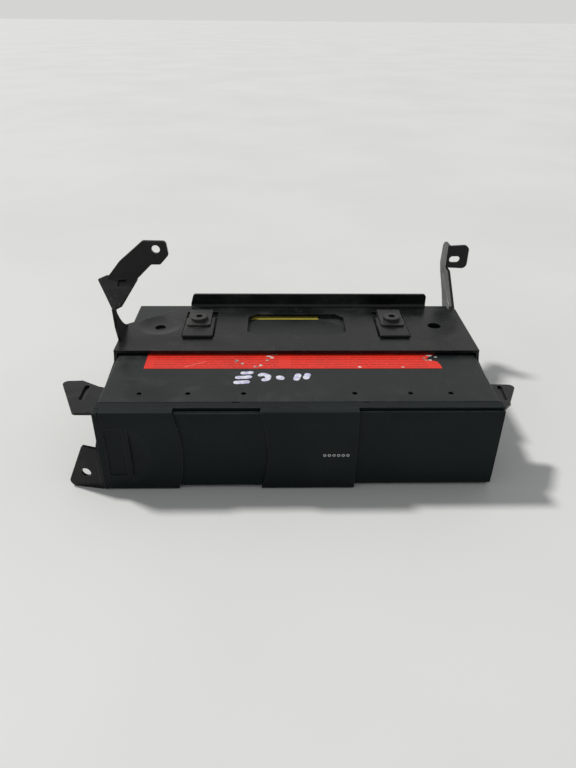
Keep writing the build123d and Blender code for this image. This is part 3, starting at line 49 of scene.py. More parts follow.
# ---------------------------------------------------------------- shader helpers
class Shader:
    """One procedural material: a Principled shader and short calls that add nodes to it."""

    def __init__(
        self, name, color, roughness=0.5, metallic=0.0, specular=0.5, coat=0.0, coat_roughness=0.1
    ):
        self.material = bpy.data.materials.new(name)
        self.material.use_nodes = True
        self.tree = self.material.node_tree
        self.tree.nodes.clear()
        self.out = self.add("ShaderNodeOutputMaterial")
        self.bsdf = self.add("ShaderNodeBsdfPrincipled")
        self.tree.links.new(self.bsdf.outputs["BSDF"], self.out.inputs["Surface"])
        self.place = self.add("ShaderNodeTexCoord").outputs["Object"]
        self.axes = None
        self.set("Base Color", (*color, 1.0))
        self.set("Roughness", roughness)
        self.set("Metallic", metallic)
        self.set("Specular IOR Level", specular)
        self.set("Coat Weight", coat)
        self.set("Coat Roughness", coat_roughness)

    def add(self, kind, **settings):
        node = self.tree.nodes.new(kind)
        for key, value in settings.items():
            setattr(node, key, value)
        return node

    def put(self, socket, value):
        if isinstance(value, bpy.types.NodeSocket):
            self.tree.links.new(value, socket)
        elif isinstance(value, tuple) and len(value) == 3 and len(socket.default_value) == 4:
            socket.default_value = (*value, 1.0)
        else:
            socket.default_value = value

    def set(self, name, value):
        self.put(self.bsdf.inputs[name], value)

    def math(self, operation, *values):
        node = self.add("ShaderNodeMath", operation=operation)
        for socket, value in zip(node.inputs, values):
            self.put(socket, value)
        return node.outputs[0]

    def xyz(self):
        """Position in millimetres along each axis of the row frame."""
        if self.axes is None:
            split = self.add("ShaderNodeSeparateXYZ")
            self.put(split.inputs[0], self.place)
            self.axes = [self.math("MULTIPLY", split.outputs[i], 1000.0) for i in range(3)]
        return self.axes

    def stretched(self, scale, turn=(0, 0, 0)):
        mapping = self.add("ShaderNodeMapping")
        self.put(mapping.inputs["Vector"], self.place)
        mapping.inputs["Scale"].default_value = scale
        mapping.inputs["Rotation"].default_value = turn
        return mapping.outputs[0]

    def noise(self, scale, detail=3.0, rough=0.55, distortion=0.0, vector=None):
        node = self.add("ShaderNodeTexNoise")
        self.put(node.inputs["Vector"], vector or self.place)
        node.inputs["Scale"].default_value = scale
        node.inputs["Detail"].default_value = detail
        node.inputs["Roughness"].default_value = rough
        node.inputs["Distortion"].default_value = distortion
        return node.outputs[0]

    def cells(self, scale, vector=None):
        node = self.add("ShaderNodeTexVoronoi")
        self.put(node.inputs["Vector"], vector or self.place)
        node.inputs["Scale"].default_value = scale
        return node.outputs["Distance"]

    def step(self, value, low, high, start=0.0, end=1.0):
        node = self.add("ShaderNodeMapRange", interpolation_type="SMOOTHSTEP")
        self.put(node.inputs["Value"], value)
        node.inputs["From Min"].default_value = low
        node.inputs["From Max"].default_value = high
        node.inputs["To Min"].default_value = start
        node.inputs["To Max"].default_value = end
        return node.outputs[0]

    def mix(self, factor, a, b):
        node = self.add("ShaderNodeMix", data_type="RGBA")
        self.put(node.inputs[0], factor)
        self.put(node.inputs[6], a)
        self.put(node.inputs[7], b)
        return node.outputs[2]

    def length(self, a, b):
        """Distance from the origin of a point with coordinates a and b."""
        squares = self.math("ADD", self.math("MULTIPLY", a, a), self.math("MULTIPLY", b, b))
        return self.math("SQRT", squares)

    def product(self, *values):
        total = values[0]
        for value in values[1:]:
            total = self.math("MULTIPLY", total, value)
        return total

    def most(self, *values):
        total = values[0]
        for value in values[1:]:
            total = self.math("MAXIMUM", total, value)
        return total

    def band(self, value, low, high, soft):
        """1 between low and high, falling to 0 over soft on both sides."""
        rise = self.step(value, low - soft, low)
        return self.product(rise, self.step(value, high, high + soft, 1.0, 0.0))

    def edge(self, radius):
        """1 along outer edges of the mesh, 0 on flat surfaces."""
        bevel = self.add("ShaderNodeBevel", samples=6)
        bevel.inputs["Radius"].default_value = radius
        flat = self.add("ShaderNodeNewGeometry")
        dot = self.add("ShaderNodeVectorMath", operation="DOT_PRODUCT")
        self.put(dot.inputs[0], bevel.outputs[0])
        self.put(dot.inputs[1], flat.outputs["Normal"])
        return self.step(dot.outputs["Value"], 0.80, 0.995, 1.0, 0.0)

    def bump(self, layers, soft_edge=0.0):
        """Stacks bump layers of (height, depth in metres) and links the normal."""
        normal = None
        if soft_edge:
            bevel = self.add("ShaderNodeBevel", samples=6)
            bevel.inputs["Radius"].default_value = soft_edge
            normal = bevel.outputs[0]
        for height, depth in layers:
            node = self.add("ShaderNodeBump")
            node.inputs["Strength"].default_value = 1.0
            node.inputs["Distance"].default_value = depth
            self.put(node.inputs["Height"], height)
            if normal is not None:
                self.put(node.inputs["Normal"], normal)
            normal = node.outputs[0]
        self.set("Normal", normal)

    def scratches(self, amount, turns=(0.35, 1.9, -0.7)):
        """Fine straight hairline marks in a few directions, 1 in a mark."""
        marks = []
        for index, turn in enumerate(turns):
            hairs = self.stretched((3200.0, 28.0, 90.0), (0.0, 0.0, turn))
            lines = self.noise(1.0, 2.0, 0.5, 0.0, hairs)
            gate = self.noise(34.0 + 9.0 * index, 1.0, 0.4, 0.0)
            here = self.step(gate, 0.60 - amount, 0.68 - amount)
            marks.append(self.product(self.step(lines, 0.70, 0.78), here))
        return self.most(*marks)


def paint_material(name, dark, light, roughness, wear, orange=6e-5, specular=0.30):
    """Black paint on steel: mottled tone, orange peel, dust, hairline scratches and worn edges."""
    s = Shader(name, dark, roughness, specular=specular)
    mottle = s.noise(22.0, 5.0, 0.6)
    fine = s.noise(900.0, 2.0, 0.5)
    dust = s.product(s.step(s.noise(60.0, 6.0, 0.72), 0.48, 0.74), 0.7)
    wiped = s.stretched((9.0, 30.0, 30.0), (0.0, 0.0, 0.5))
    smear = s.step(s.noise(1.0, 4.0, 0.6, 0.4, wiped), 0.42, 0.66)
    specks = s.step(s.cells(420.0), 0.0, 0.11, 1.0, 0.0)
    specks = s.product(specks, s.step(s.noise(35.0, 2.0), 0.52, 0.66))
    scratch = s.scratches(0.06)
    rim = s.product(s.edge(0.0006), s.step(s.noise(160.0, 4.0, 0.7), 0.38, 0.62))
    tone = s.mix(s.step(mottle, 0.35, 0.68), dark, light)
    tone = s.mix(s.product(smear, 0.5), tone, tuple(0.55 * c for c in dark))
    tone = s.mix(s.product(dust, 0.16), tone, (0.15, 0.155, 0.14))
    tone = s.mix(s.product(scratch, 0.30), tone, (0.20, 0.20, 0.20))
    tone = s.mix(s.product(specks, 0.40), tone, (0.22, 0.21, 0.19))
    tone = s.mix(s.product(rim, wear), tone, (0.16, 0.155, 0.15))
    s.set("Base Color", tone)
    rough = s.step(mottle, 0.3, 0.7, roughness - 0.07, roughness + 0.08)
    rough = s.math("ADD", rough, s.product(dust, 0.22))
    rough = s.math("ADD", rough, s.product(smear, -0.08))
    s.set("Roughness", s.math("ADD", rough, s.product(scratch, 0.12)))
    waves = (s.noise(26.0, 2.0, 0.5), 2.5e-4)
    peel = (s.noise(420.0, 2.0, 0.5), orange)
    cut = (s.math("SUBTRACT", 1.0, scratch), 1.2e-5)
    s.bump([waves, peel, (fine, orange * 0.25), cut], 0.0004)
    return s


def plastic_material(
    name, dark, light, roughness, grain=3.2e-5, grain_scale=1500.0, specular=0.35, edge_wear_and_highlight_gain=0.35
):
    """Moulded plastic: spark-eroded grain, faint handling marks, polished and dusty edges, and a painted
    edge highlight where the edge gain is high.
    """
    s = Shader(name, dark, roughness, specular=specular)
    mottle = s.noise(16.0, 5.0, 0.6)
    grain_height = s.cells(grain_scale)
    grip = s.step(s.noise(30.0, 4.0, 0.65), 0.52, 0.70)
    scratch = s.scratches(0.03)
    rim = s.product(s.edge(0.0007), s.step(s.noise(140.0, 4.0, 0.7), 0.30, 0.60))
    tone = s.mix(s.step(mottle, 0.35, 0.68), dark, light)
    tone = s.mix(s.product(scratch, 0.22), tone, (0.14, 0.14, 0.14))
    # Lighter edges: rubbed and dusty edges, and at a high gain a painted highlight along the rounded edges.
    tone = s.mix(s.product(rim, edge_wear_and_highlight_gain), tone, tuple(min(1.0, c * 1.8 + 0.045) for c in light))
    s.set("Base Color", tone)
    rough = s.step(mottle, 0.3, 0.7, roughness - 0.03, roughness + 0.05)
    s.set("Roughness", s.math("SUBTRACT", rough, s.product(grip, 0.07)))
    s.bump([(grain_height, grain), (s.noise(320.0, 2.0), 1.5e-5)], 0.0003)
    return s


def metal_material(name, color, roughness, streak=(1.0, 60.0, 60.0), mottle=0.12, spangle=0.0):
    """Bare or plated steel: rolling streaks, stains and optional zinc spangle."""
    s = Shader(name, color, roughness, 1.0)
    lines = s.noise(30.0, 4.0, 0.7, 0.0, s.stretched(streak))
    stain = s.noise(45.0, 5.0, 0.65)
    low = tuple(c * (1.0 - mottle) for c in color)
    tone = s.mix(s.step(stain, 0.35, 0.7), low, color)
    rough = s.step(lines, 0.3, 0.7, roughness - 0.07, roughness + 0.08)
    if spangle:
        flakes = s.cells(160.0)
        tone = s.mix(s.product(s.step(flakes, 0.15, 0.6), spangle), tone, tuple(c * 0.72 for c in color))
        rough = s.math("ADD", rough, s.product(flakes, 0.16))
    s.set("Base Color", tone)
    s.set("Roughness", rough)
    s.bump([(lines, 8e-6), (s.noise(700.0, 2.0), 6e-6)], 0.0002)
    return s


# ---------------------------------------------------------------- materials of the case and bracket
cover = paint_material(
    "cover_paint", (0.0085, 0.0120, 0.0120), (0.0150, 0.0190, 0.0185), 0.44, 0.35, specular=0.26
)
bracket = paint_material(
    "bracket_paint", (0.0045, 0.0055, 0.0055), (0.0105, 0.0120, 0.0118), 0.34, 0.6, 9e-5, 0.24
)


def front_moulding(name):
    """The grained black plastic of the bezel and the doors."""
    # The high edge gain of 0.8 goes beyond wear and paints a highlight along the rounded edges of the bezel
    # and doors.
    return plastic_material(
        name, FRONT_DARK, FRONT_LIGHT, FRONT_ROUGHNESS, specular=0.13, edge_wear_and_highlight_gain=0.8
    )


front = front_moulding("front_moulding")


def door_material():
    """The outer door: the front moulding with one small row of printed rings."""
    s = front_moulding("door_moulding")
    x, _, z = s.xyz()
    pitch, radius, first, level = 2.9, 0.95, 15.6, 27.6
    ring_width, rings, ring_soft = 0.36, 6, 0.10
    along = s.math("SUBTRACT", x, first - pitch / 2)
    cell = s.math("SUBTRACT", s.math("WRAP", along, pitch, 0.0), pitch / 2)
    away = s.math("SUBTRACT", z, level)
    distance = s.length(cell, away)
    ring = s.band(distance, radius - ring_width, radius, ring_soft)
    inside = s.band(x, first - pitch / 2, first + (rings - 0.5) * pitch, 0.01)
    ink = s.product(ring, inside, s.step(s.noise(1400.0, 3.0), 0.30, 0.46, 0.45, 1.0))
    old = s.bsdf.inputs["Base Color"].links[0].from_socket
    s.set("Base Color", s.mix(s.product(ink, 0.86), old, (0.62, 0.64, 0.62)))
    return s


door = door_material()


def label_material(name, light, dark, ruled):
    """Printed gloss film with creases and, where ruled, broken rows and one short fold line."""
    s = Shader(name, light, 0.42, specular=0.22)
    x, y, _ = s.xyz()
    tone = s.mix(s.step(s.noise(40.0, 4.0), 0.35, 0.7), light, dark)
    folded = s.stretched((0.05, 1.0, 1.0), (0, 0, 0.22))
    crease = s.step(s.noise(900.0, 2.0, 0.5, 0.6, folded), 0.62, 0.70)
    if ruled:
        row_pitch, row_half = 3.3, 0.42
        row = s.math("WRAP", s.math("ADD", y, 40.0), row_pitch, 0.0)
        line = s.band(s.math("SUBTRACT", row, row_pitch / 2), -row_half, row_half, 0.16)
        dashes = s.stretched((900.0, 220.0, 1.0))
        breaks = s.step(s.noise(1.0, 3.0, 0.7, 0.0, dashes), 0.40, 0.50)
        columns = s.most(s.band(x, -97.0, -12.5, 0.3), s.band(x, -5.0, 88.0, 0.3))
        ink = s.product(line, breaks, columns)
        tone = s.mix(s.product(ink, 0.72), tone, (0.20, 0.008, 0.008))
        fold_slope, fold_rise = 0.526, 12.0
        at_fold = s.math("ADD", s.math("MULTIPLY", x, fold_slope), fold_rise)
        off = s.math("SUBTRACT", y, at_fold)
        fold = s.product(s.band(off, -0.12, 0.12, 0.25), s.band(x, -76.0, -63.5, 1.5))
        tone = s.mix(s.product(fold, 0.55), tone, (0.86, 0.42, 0.36))
    s.set("Base Color", tone)
    s.set("Roughness", s.step(s.noise(70.0, 4.0), 0.3, 0.7, 0.30, 0.44))
    s.bump([(s.noise(260.0, 3.0), 1.8e-5), (crease, 1.5e-5)])
    return s


red_film = label_material("red_film", (0.80, 0.036, 0.020), (0.70, 0.036, 0.022), True)
yellow_film = label_material("yellow_film", (0.62, 0.52, 0.07), (0.50, 0.42, 0.06), False)


def paper_material():
    """Torn fibrous paper with dirt in its hollows."""
    s = Shader("torn_paper", (0.62, 0.60, 0.56), 0.85)
    fibre = s.noise(1500.0, 5.0, 0.7)
    dirt = s.noise(220.0, 4.0, 0.7)
    tone = s.mix(s.step(fibre, 0.35, 0.65), (0.50, 0.46, 0.40), (0.78, 0.77, 0.74))
    s.set("Base Color", s.mix(s.step(dirt, 0.48, 0.60), tone, (0.14, 0.09, 0.07)))
    s.set("Roughness", s.step(fibre, 0.3, 0.7, 0.80, 0.95))
    s.bump([(fibre, 4e-5)])
    return s


def marker_material():
    """Uneven pale paint from a marker, thin in places."""
    s = Shader("marker_paint", (0.66, 0.67, 0.80), 0.42)
    flow = s.noise(330.0, 4.0, 0.6)
    thin = s.noise(1200.0, 3.0, 0.6)
    tone = s.mix(s.step(flow, 0.38, 0.62), (0.50, 0.50, 0.72), (0.80, 0.81, 0.88))
    s.set("Base Color", s.mix(s.step(thin, 0.62, 0.74), tone, (0.30, 0.31, 0.40)))
    s.set("Roughness", s.step(flow, 0.3, 0.7, 0.36, 0.55))
    s.bump([(flow, 8e-5), (thin, 2e-5)])
    return s


torn_paper = paper_material()
marker = marker_material()

# ---------------------------------------------------------------- materials of the inside
clip_steel = paint_material(
    "clip_steel", (0.020, 0.020, 0.021), (0.032, 0.031, 0.030), 0.44, 0.5, 3e-5
)
zinc = metal_material("zinc_steel", (0.56, 0.56, 0.54), 0.38, spangle=0.4)
plated = metal_material("plated_fastener", (0.44, 0.43, 0.39), 0.34)
can = metal_material("motor_can", (0.52, 0.52, 0.51), 0.30, (60.0, 1.0, 1.0))
bright = metal_material("bright_steel", (0.72, 0.72, 0.71), 0.20, (1.0, 90.0, 90.0), 0.06)
contact = metal_material("contact_brass", (0.76, 0.62, 0.30), 0.26)
tray_plastic = plastic_material(
    "tray_moulding", (0.040, 0.041, 0.045), (0.055, 0.056, 0.060), 0.48
)
acetal = plastic_material(
    "acetal_moulding", (0.70, 0.69, 0.63), (0.78, 0.77, 0.72), 0.42, 1.2e-5, 900.0
)
socket_plastic = plastic_material(
    "socket_moulding", (0.032, 0.032, 0.036), (0.046, 0.046, 0.050), 0.44
)
chips = plastic_material(
    "chip_moulding", (0.022, 0.022, 0.024), (0.034, 0.034, 0.038), 0.55, 2e-5, 2400.0
)
rubber = plastic_material(
    "damper_rubber", (0.018, 0.018, 0.018), (0.030, 0.030, 0.030), 0.72, 5e-5, 700.0
)


def board_material():
    """Green board under clear varnish, with copper lanes both ways."""
    s = Shader("circuit_board", (0.02, 0.12, 0.05), 0.30, coat=0.4, coat_roughness=0.15)
    x, y, _ = s.xyz()

    def lanes(position, pitch, low, high, scale, gap):
        """Copper lanes repeated at pitch, broken where the noise falls below gap."""
        lane = s.math("WRAP", s.math("ADD", position, 200.0), pitch, 0.0)
        strip = s.band(lane, low, high, 0.08)
        breaks = s.noise(1.0, 1.0, 0.5, 0.0, s.stretched(scale))
        return s.product(strip, s.step(breaks, gap, gap + 0.04))

    along = lanes(x, 2.0, 0.5, 1.0, (420.0, 60.0, 1.0), 0.48)
    over = lanes(y, 2.6, 0.6, 1.2, (60.0, 420.0, 1.0), 0.52)
    copper = s.most(along, over)
    tone = s.mix(s.step(s.noise(60.0, 3.0), 0.3, 0.7), (0.012, 0.085, 0.035), (0.020, 0.115, 0.048))
    s.set("Base Color", s.mix(copper, tone, (0.035, 0.19, 0.07)))
    s.set("Roughness", s.step(copper, 0.0, 1.0, 0.34, 0.24))
    s.bump([(copper, 3e-5), (s.noise(900.0), 8e-6)])
    return s


def disc_material():
    """Clear plastic over a bright film: fine rings, a frosted hub and a slow painted rainbow sheen."""
    s = Shader("disc_film", (0.80, 0.81, 0.84), 0.10, 1.0, coat=1.0, coat_roughness=0.04)
    x, y, _ = s.xyz()
    centre_x, centre_y, hub_radius = -53.3, -5.0, 22.4
    dx = s.math("ADD", x, -centre_x)
    dy = s.math("ADD", y, -centre_y)
    radius = s.length(dx, dy)
    hub = s.step(radius, hub_radius, hub_radius + 0.5, 1.0, 0.0)
    # Painted rainbow sheen: a hue that turns with the angle around the centre is mixed into the film's
    # colour in two crossed bands, in place of the reflected rainbow of the grooves.
    rainbow_sheen_hue = s.add("ShaderNodeCombineColor", mode="HSV")
    angle = s.math("ARCTAN2", dy, dx)
    drift = s.math("ADD", s.math("MULTIPLY", angle, 0.95), s.math("MULTIPLY", radius, 0.012))
    s.put(rainbow_sheen_hue.inputs[0], s.math("FRACT", drift))
    rainbow_sheen_hue.inputs[1].default_value = 0.30
    rainbow_sheen_hue.inputs[2].default_value = 0.85
    rainbow_sheen = s.step(s.math("ABSOLUTE", s.math("SINE", s.math("MULTIPLY", angle, 2.0))), 0.78, 1.0)
    film = s.mix(s.product(rainbow_sheen, 0.5), (0.76, 0.77, 0.80), rainbow_sheen_hue.outputs[0])
    s.set("Base Color", s.mix(hub, film, (0.55, 0.57, 0.60)))
    s.set("Metallic", s.step(hub, 0.0, 1.0, 1.0, 0.1))
    s.set("Roughness", s.step(hub, 0.0, 1.0, 0.12, 0.32))
    grooves = s.math("SINE", s.math("MULTIPLY", radius, 40.0))
    s.bump([(grooves, 1.5e-6), (s.noise(300.0), 4e-6)])
    return s


def lens_material():
    """A coated lens with a blue to violet sheen."""
    s = Shader("coated_lens", (0.10, 0.16, 0.40), 0.05, coat=1.0, coat_roughness=0.02)
    sheen = s.step(s.noise(500.0), 0.3, 0.7)
    s.set("Base Color", s.mix(sheen, (0.08, 0.13, 0.38), (0.16, 0.10, 0.34)))
    s.set("Transmission Weight", 0.5)
    s.bump([(s.noise(400.0), 2e-6)])
    return s


board = board_material()
disc_film = disc_material()
lens = lens_material()

finish = {
    "bottom_case": cover, "top_cover": cover,
    "front_bezel": front, "door_inner": front, "eject_button": front, "door_outer": door,
    "bracket_plate": bracket, "left_side_plate": bracket, "right_side_plate": bracket,
    "left_arm": bracket, "right_arm": bracket, "rear_flange": bracket, "plate_tongues": bracket,
    "captive_nuts": clip_steel, "bracket_screws": plated,
    "magazine_shell": tray_plastic, "mech_chassis": zinc, "cam_slider": zinc, "lift_carriage": zinc,
    "magazine_guide": zinc, "clamp_arm": zinc, "magazine_pusher": acetal, "pickup_sled": acetal,
    "tray_hook": acetal, "clamp_puck": acetal, "turntable": acetal,
    "lift_motor": can, "sled_motor": can, "loading_motor": can, "spindle_motor": can,
    "lift_screw": bright, "lead_screw": bright, "transfer_screw": bright, "guide_rods": bright,
    "eject_spring": bright, "ejector_spring": bright, "chassis_dampers": rubber,
    "main_board": board, "eject_switch": board, "board_parts": chips, "rear_socket": socket_plastic,
    "socket_pins": contact, "objective_lens": lens, "top_label": red_film, "code_label": yellow_film,
}
for level in range(1, 7):
    finish[f"disc_tray_{level}"] = tray_plastic
    finish[f"disc_{level}"] = disc_film
for name, obj in nodes.items():
    obj.data.materials.clear()
    obj.data.materials.append(finish[name].material)


# ---------------------------------------------------------------- pieces
def add_piece(name, verts, faces, material, body):
    """A mesh piece in the row frame, given in millimetres, that rides on a body."""
    mesh = bpy.data.meshes.new(name)
    mesh.from_pydata([Vector(v) * MM for v in verts], [], faces)
    mesh.validate()
    obj = bpy.data.objects.new(name, mesh)
    bpy.context.scene.collection.objects.link(obj)
    mesh.materials.append(material.material)
    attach(obj, body)
    return obj


def film_sheet(name, outline, material):
    """A flat film cut to an outline, with its edge standing on the cover."""
    count = len(outline)
    verts = [(x, y, COVER_TOP + FILM_THICK) for x, y in outline]
    verts += [(x, y, COVER_TOP) for x, y in outline]
    faces = [tuple(range(count)), tuple(reversed(range(count, 2 * count)))]
    faces += [(i, i + count, (i + 1) % count + count, (i + 1) % count) for i in range(count)]
    return add_piece(name, verts, faces, material, "housing")


def ragged(points, step, depth, seed):
    """Points along an open line, moved to the side at random like torn film."""
    draw = random.Random(seed)
    out = []
    for (x0, y0), (x1, y1) in zip(points, points[1:]):
        length = math.hypot(x1 - x0, y1 - y0)
        parts = max(1, int(length / step))
        for i in range(parts):
            t = i / parts
            off = draw.uniform(-depth, depth) if 0 < t else 0.0
            nx, ny = (y1 - y0) / length, (x0 - x1) / length
            out.append((x0 + (x1 - x0) * t + nx * off, y0 + (y1 - y0) * t + ny * off))
    return out


label_outline = [(-103.3, -30.5)]
torn_end = [
    (88.0, -30.6), (97.2, -30.6), (97.0, -26.0), (95.8, -21.4), (91.0, -19.2),
    (89.4, -16.8), (92.0, -13.6), (95.4, -11.6), (96.8, -7.0), (97.0, 3.4),
]
label_outline += ragged(torn_end, 0.8, 0.22, 3)
label_outline += [(97.0, 3.4), (-103.9, 3.4)]
red_label = film_sheet("red_label", label_outline, red_film)
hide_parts("top_label")

yellow_outline = [(-36.0, 45.8), (18.0, 45.8), (18.0, 59.8), (-36.0, 59.8)]
yellow_label = film_sheet("yellow_label", yellow_outline, yellow_film)
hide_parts("code_label")


def torn_spot(index, x, y, width, depth, seed):
    """A small rough patch where the film is torn down to white paper."""
    draw = random.Random(seed)
    count, crest, rim, foot = 22, 0.24, 0.17, 0.02
    verts = [(x, y, COVER_TOP + crest)]
    for i in range(count):
        turn = 2 * math.pi * i / count
        reach = draw.uniform(0.45, 1.0)
        out_x = width / 2 * reach * math.cos(turn)
        out_y = depth / 2 * reach * math.sin(turn)
        verts.append((x + out_x, y + out_y, COVER_TOP + rim))
    for i in range(count):
        verts.append((*verts[i + 1][:2], COVER_TOP + foot))
    faces = [(0, i + 1, (i + 1) % count + 1) for i in range(count)]
    faces += [(i + 1, i + 1 + count, (i + 1) % count + 1 + count, (i + 1) % count + 1) for i in range(count)]
    faces.append(tuple(reversed(range(count + 1, 2 * count + 1))))
    return add_piece(f"torn_spot_{index}", verts, faces, torn_paper, "housing")


SPOT_SEED = 20
spots = [  # x, y, width, depth
    (-41.9, -20.3, 3.0, 4.6), (-37.9, -23.7, 3.4, 2.6), (-28.3, -27.9, 3.8, 2.6),
    (-25.3, -26.3, 3.2, 3.6), (-19.7, -13.6, 4.8, 2.4), (-15.5, -11.0, 4.4, 2.4),
    (-20.5, -18.6, 3.0, 3.6), (-17.6, -15.6, 3.2, 3.0), (41.6, -28.6, 3.8, 2.6),
    (71.0, -28.9, 2.6, 2.0), (91.6, -12.6, 7.6, 2.4), (90.4, -19.0, 8.4, 2.6),
    (96.2, -15.0, 2.8, 2.2), (87.6, -16.4, 2.4, 3.0),
]
for index, (x, y, width, depth) in enumerate(spots):
    torn_spot(index, x, y, width, depth, SPOT_SEED + index)


def stroke(name, path, width, seed):
    """One stroke of a paint marker: a rounded, uneven ridge along a path on the cover."""
    spacing, smoothing_passes = 0.5, 6
    draw = random.Random(seed)
    points = []
    for (x0, y0), (x1, y1) in zip(path, path[1:]):
        parts = max(2, int(math.hypot(x1 - x0, y1 - y0) / spacing))
        points += [(x0 + (x1 - x0) * i / parts, y0 + (y1 - y0) * i / parts) for i in range(parts)]
    points.append(path[-1])
    for _ in range(smoothing_passes):
        inner = [
            ((a[0] + 2 * b[0] + c[0]) / 4, (a[1] + 2 * b[1] + c[1]) / 4)
            for a, b, c in zip(points, points[1:], points[2:])
        ]
        points = [points[0], *inner, points[-1]]
    across = [
        (-1.0, 0.0), (-0.92, 0.05), (-0.6, 0.13), (0.0, 0.17), (0.6, 0.13), (0.92, 0.05), (1.0, 0.0),
    ]
    verts, faces = [], []
    last = len(points) - 1
    for i, (x, y) in enumerate(points):
        a, b = points[max(0, i - 1)], points[min(last, i + 1)]
        length = math.hypot(b[0] - a[0], b[1] - a[1]) or 1.0
        nx, ny = (a[1] - b[1]) / length, (b[0] - a[0]) / length
        near = min(i, last - i) * spacing / (width / 2)
        cap = math.sqrt(max(0.04, 1 - (1 - min(1.0, near)) ** 2))
        half = width / 2 * cap * draw.uniform(0.93, 1.07)
        for side, rise in across:
            verts.append((x + nx * half * side, y + ny * half * side, COVER_TOP + rise * cap))
    row = len(across)
    for i in range(last):
        for j in range(row - 1):
            k = i * row + j
            faces.append((k, k + 1, k + 1 + row, k + row))
    faces.append(tuple(range(row - 1, -1, -1)))
    faces.append(tuple(range(last * row, last * row + row)))
    for i in range(last):
        faces.append((i * row, i * row + row, i * row + 2 * row - 1, i * row + row - 1))
    obj = add_piece(name, verts, faces, marker, "housing")
    for face in obj.data.polygons:
        face.use_smooth = True
    return obj


dabs = [  # path, width
    ([(-42.4, -48.4), (-36.5, -48.0), (-31.6, -47.2)], 4.2),
    ([(-41.6, -42.2), (-35.5, -41.8), (-30.4, -41.0)], 4.0),
    ([(-38.4, -36.2), (-34.0, -36.4), (-29.6, -35.2)], 3.8),
    ([(-26.4, -40.2), (-23.4, -37.6), (-19.6, -40.4), (-20.6, -44.6), (-24.4, -45.4)], 4.0),
    ([(-13.6, -44.4), (-10.4, -40.4)], 6.6),
    ([(-2.0, -46.0), (0.4, -37.0)], 4.4),
    ([(4.4, -44.4), (6.6, -36.6)], 4.6),
]
for index, (path, width) in enumerate(dabs):
    stroke(f"marker_stroke_{index + 1}", path, width, index + 1)


def backing_clip(name, centre, along, normal, size, body):
    """A spring clip that closes a slot or hole from below: a rounded plate with a nut under it."""
    normal = Vector(normal).normalized()
    along = Vector(along).normalized()
    across = normal.cross(along)
    half_long, half_wide, corner, thick = size[0] / 2, size[1] / 2, 1.6, 1.1
    nut_radius, nut_height = 4.2, 3.0
    ring = []
    for sx, sy, start in ((1, 1, 0), (-1, 1, 90), (-1, -1, 180), (1, -1, 270)):
        for step in range(5):
            turn = math.radians(start + 22.5 * step)
            out_long = sx * (half_long - corner) + corner * math.cos(turn)
            out_wide = sy * (half_wide - corner) + corner * math.sin(turn)
            ring.append(along * out_long + across * out_wide)
    nut = []
    for i in range(6):
        turn = math.radians(60 * i)
        nut.append(along * (nut_radius * math.cos(turn)) + across * (nut_radius * math.sin(turn)))
    verts, faces = [], []
    for points, top, bottom in ((ring, 0.0, thick), (nut, thick, thick + nut_height)):
        first, count = len(verts), len(points)
        verts += [Vector(centre) + point - normal * top for point in points]
        verts += [Vector(centre) + point - normal * bottom for point in points]
        faces.append(tuple(range(first, first + count)))
        faces.append(tuple(reversed(range(first + count, first + 2 * count))))
        for i in range(count):
            after = first + (i + 1) % count
            faces.append((first + i, first + count + i, after + count, after))
    obj = add_piece(name, verts, faces, clip_steel, body)
    bevel = obj.modifiers.new("soft edge", "BEVEL")
    bevel.width = 0.00025
    bevel.segments = 2
    return obj


EAR_UNDER = 51.0           # underside of both ears
LEAF_THICK = 2.0
LEAF_SLOPE = math.radians(36.0)
UPWARD = (0, 0, 1)
leaf_normal = (0.0, -math.sin(LEAF_SLOPE), math.cos(LEAF_SLOPE))
leaf_centre = Vector((-122.9, 18.5, 100.7)) - LEAF_THICK * Vector(leaf_normal)
clips = [  # name, centre, long direction, normal, length and width
    ("left_ear_clip", (-138.8, -49.5, EAR_UNDER), (0, 1, 0), UPWARD, (22.0, 9.0)),
    ("right_ear_clip", (132.6, -50.9, EAR_UNDER), (0.087, 1, 0), UPWARD, (22.0, 8.0)),
    ("square_hole_clip", leaf_centre, (1, 0, 0), leaf_normal, (9.4, 8.0)),
]
for name, centre, along, normal, size in clips:
    backing_clip(name, centre, along, normal, size, "housing")


# ---------------------------------------------------------------- floor, light and camera
def floor_material():
    """A plain pale studio floor, very slightly mottled."""
    s = Shader("studio_floor", (0.70, 0.70, 0.685), 0.62)
    mottle = s.step(s.noise(3.0, 3.0), 0.3, 0.7)
    s.set("Base Color", s.mix(mottle, (0.68, 0.68, 0.665), (0.72, 0.72, 0.705)))
    s.bump([(s.noise(120.0, 3.0), 2e-5)])
    return s


mesh = bpy.data.meshes.new("floor")
FLOOR_REACH, FLOOR_STEPS = 16.0, 8  # metres from the middle to each side, squares along a side
side = [FLOOR_REACH * (2 * i / FLOOR_STEPS - 1) for i in range(FLOOR_STEPS + 1)]
row = FLOOR_STEPS + 1
verts = [(x, y, 0.0) for y in side for x in side]
faces = [
    (j * row + i, j * row + i + 1, (j + 1) * row + i + 1, (j + 1) * row + i)
    for j in range(FLOOR_STEPS) for i in range(FLOOR_STEPS)
]
mesh.from_pydata(verts, [], faces)
floor = bpy.data.objects.new("floor", mesh)
bpy.context.scene.collection.objects.link(floor)
mesh.materials.append(floor_material().material)


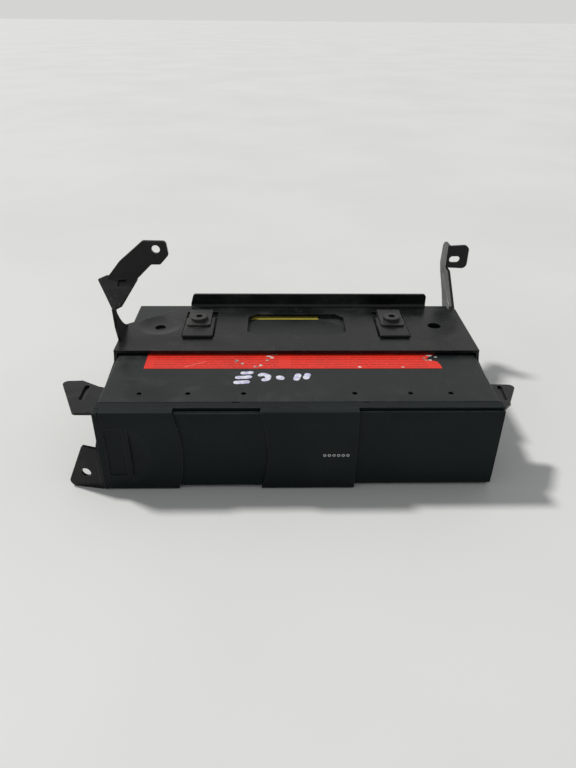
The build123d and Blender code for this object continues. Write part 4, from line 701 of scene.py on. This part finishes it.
def studio_world():
    """A soft even light all round, seen as a pale wall by the camera and in reflections."""
    light_strength, light_colour, wall_colour = 0.38, (0.96, 0.98, 1.0), (0.66, 0.66, 0.65)
    world = bpy.data.worlds.new("studio")
    world.use_nodes = True
    tree = world.node_tree
    light = tree.nodes["Background"]
    light.inputs["Color"].default_value = (*light_colour, 1.0)
    light.inputs["Strength"].default_value = light_strength
    wall = tree.nodes.new("ShaderNodeBackground")
    wall.inputs["Color"].default_value = (*wall_colour, 1.0)
    wall.inputs["Strength"].default_value = 1.0
    path = tree.nodes.new("ShaderNodeLightPath")
    seen = path.outputs["Is Camera Ray"]
    for ray in ("Is Glossy Ray", "Is Transmission Ray"):
        either = tree.nodes.new("ShaderNodeMath")
        either.operation = "MAXIMUM"
        tree.links.new(seen, either.inputs[0])
        tree.links.new(path.outputs[ray], either.inputs[1])
        seen = either.outputs[0]
    blend = tree.nodes.new("ShaderNodeMixShader")
    tree.links.new(seen, blend.inputs[0])
    tree.links.new(light.outputs[0], blend.inputs[1])
    tree.links.new(wall.outputs[0], blend.inputs[2])
    tree.links.new(blend.outputs[0], tree.nodes["World Output"].inputs["Surface"])
    return world


bpy.context.scene.world = studio_world()

KEY_FROM = (-0.37, 0.216, 0.60)  # direction towards the key light, from behind on the left
key_data = bpy.data.lights.new("key", "SUN")
key_data.energy = 2.4
key_data.angle = math.radians(7.0)
key_data.color = (1.0, 0.99, 0.97)
key = bpy.data.objects.new("key", key_data)
key.rotation_euler = Vector(KEY_FROM).to_track_quat("Z", "Y").to_euler()
bpy.context.scene.collection.objects.link(key)

# the photograph's camera, solved from the edges of the case
FRAME_HEIGHT, FOCAL_LENGTH = 768, 616.5  # both in pixels
CAMERA_PLACE = (-0.0142, -0.3889, 0.2665)
PITCH, YAW, ROLL = 31.41, 1.2, -0.53
camera_data = bpy.data.cameras.new("camera")
camera_data.sensor_fit = "VERTICAL"
camera_data.sensor_height = 24.0
camera_data.lens = FOCAL_LENGTH / FRAME_HEIGHT * camera_data.sensor_height
camera_data.clip_start = 0.01
pitch, yaw, roll = math.radians(PITCH), math.radians(YAW), math.radians(ROLL)
ahead = math.cos(pitch)
forward = Vector((math.sin(yaw) * ahead, math.cos(yaw) * ahead, -math.sin(pitch)))
level = Vector((math.cos(yaw), -math.sin(yaw), 0.0))
down = forward.cross(level)
right = level * math.cos(roll) + down * math.sin(roll)
up = level * math.sin(roll) - down * math.cos(roll)
camera = bpy.data.objects.new("camera", camera_data)
bpy.context.scene.collection.objects.link(camera)
turned = Matrix((right, up, -forward)).transposed().to_4x4()
camera.matrix_world = Matrix.Translation(CAMERA_PLACE) @ turned
bpy.context.scene.camera = camera
bpy.context.scene.view_settings.view_transform = "Standard"
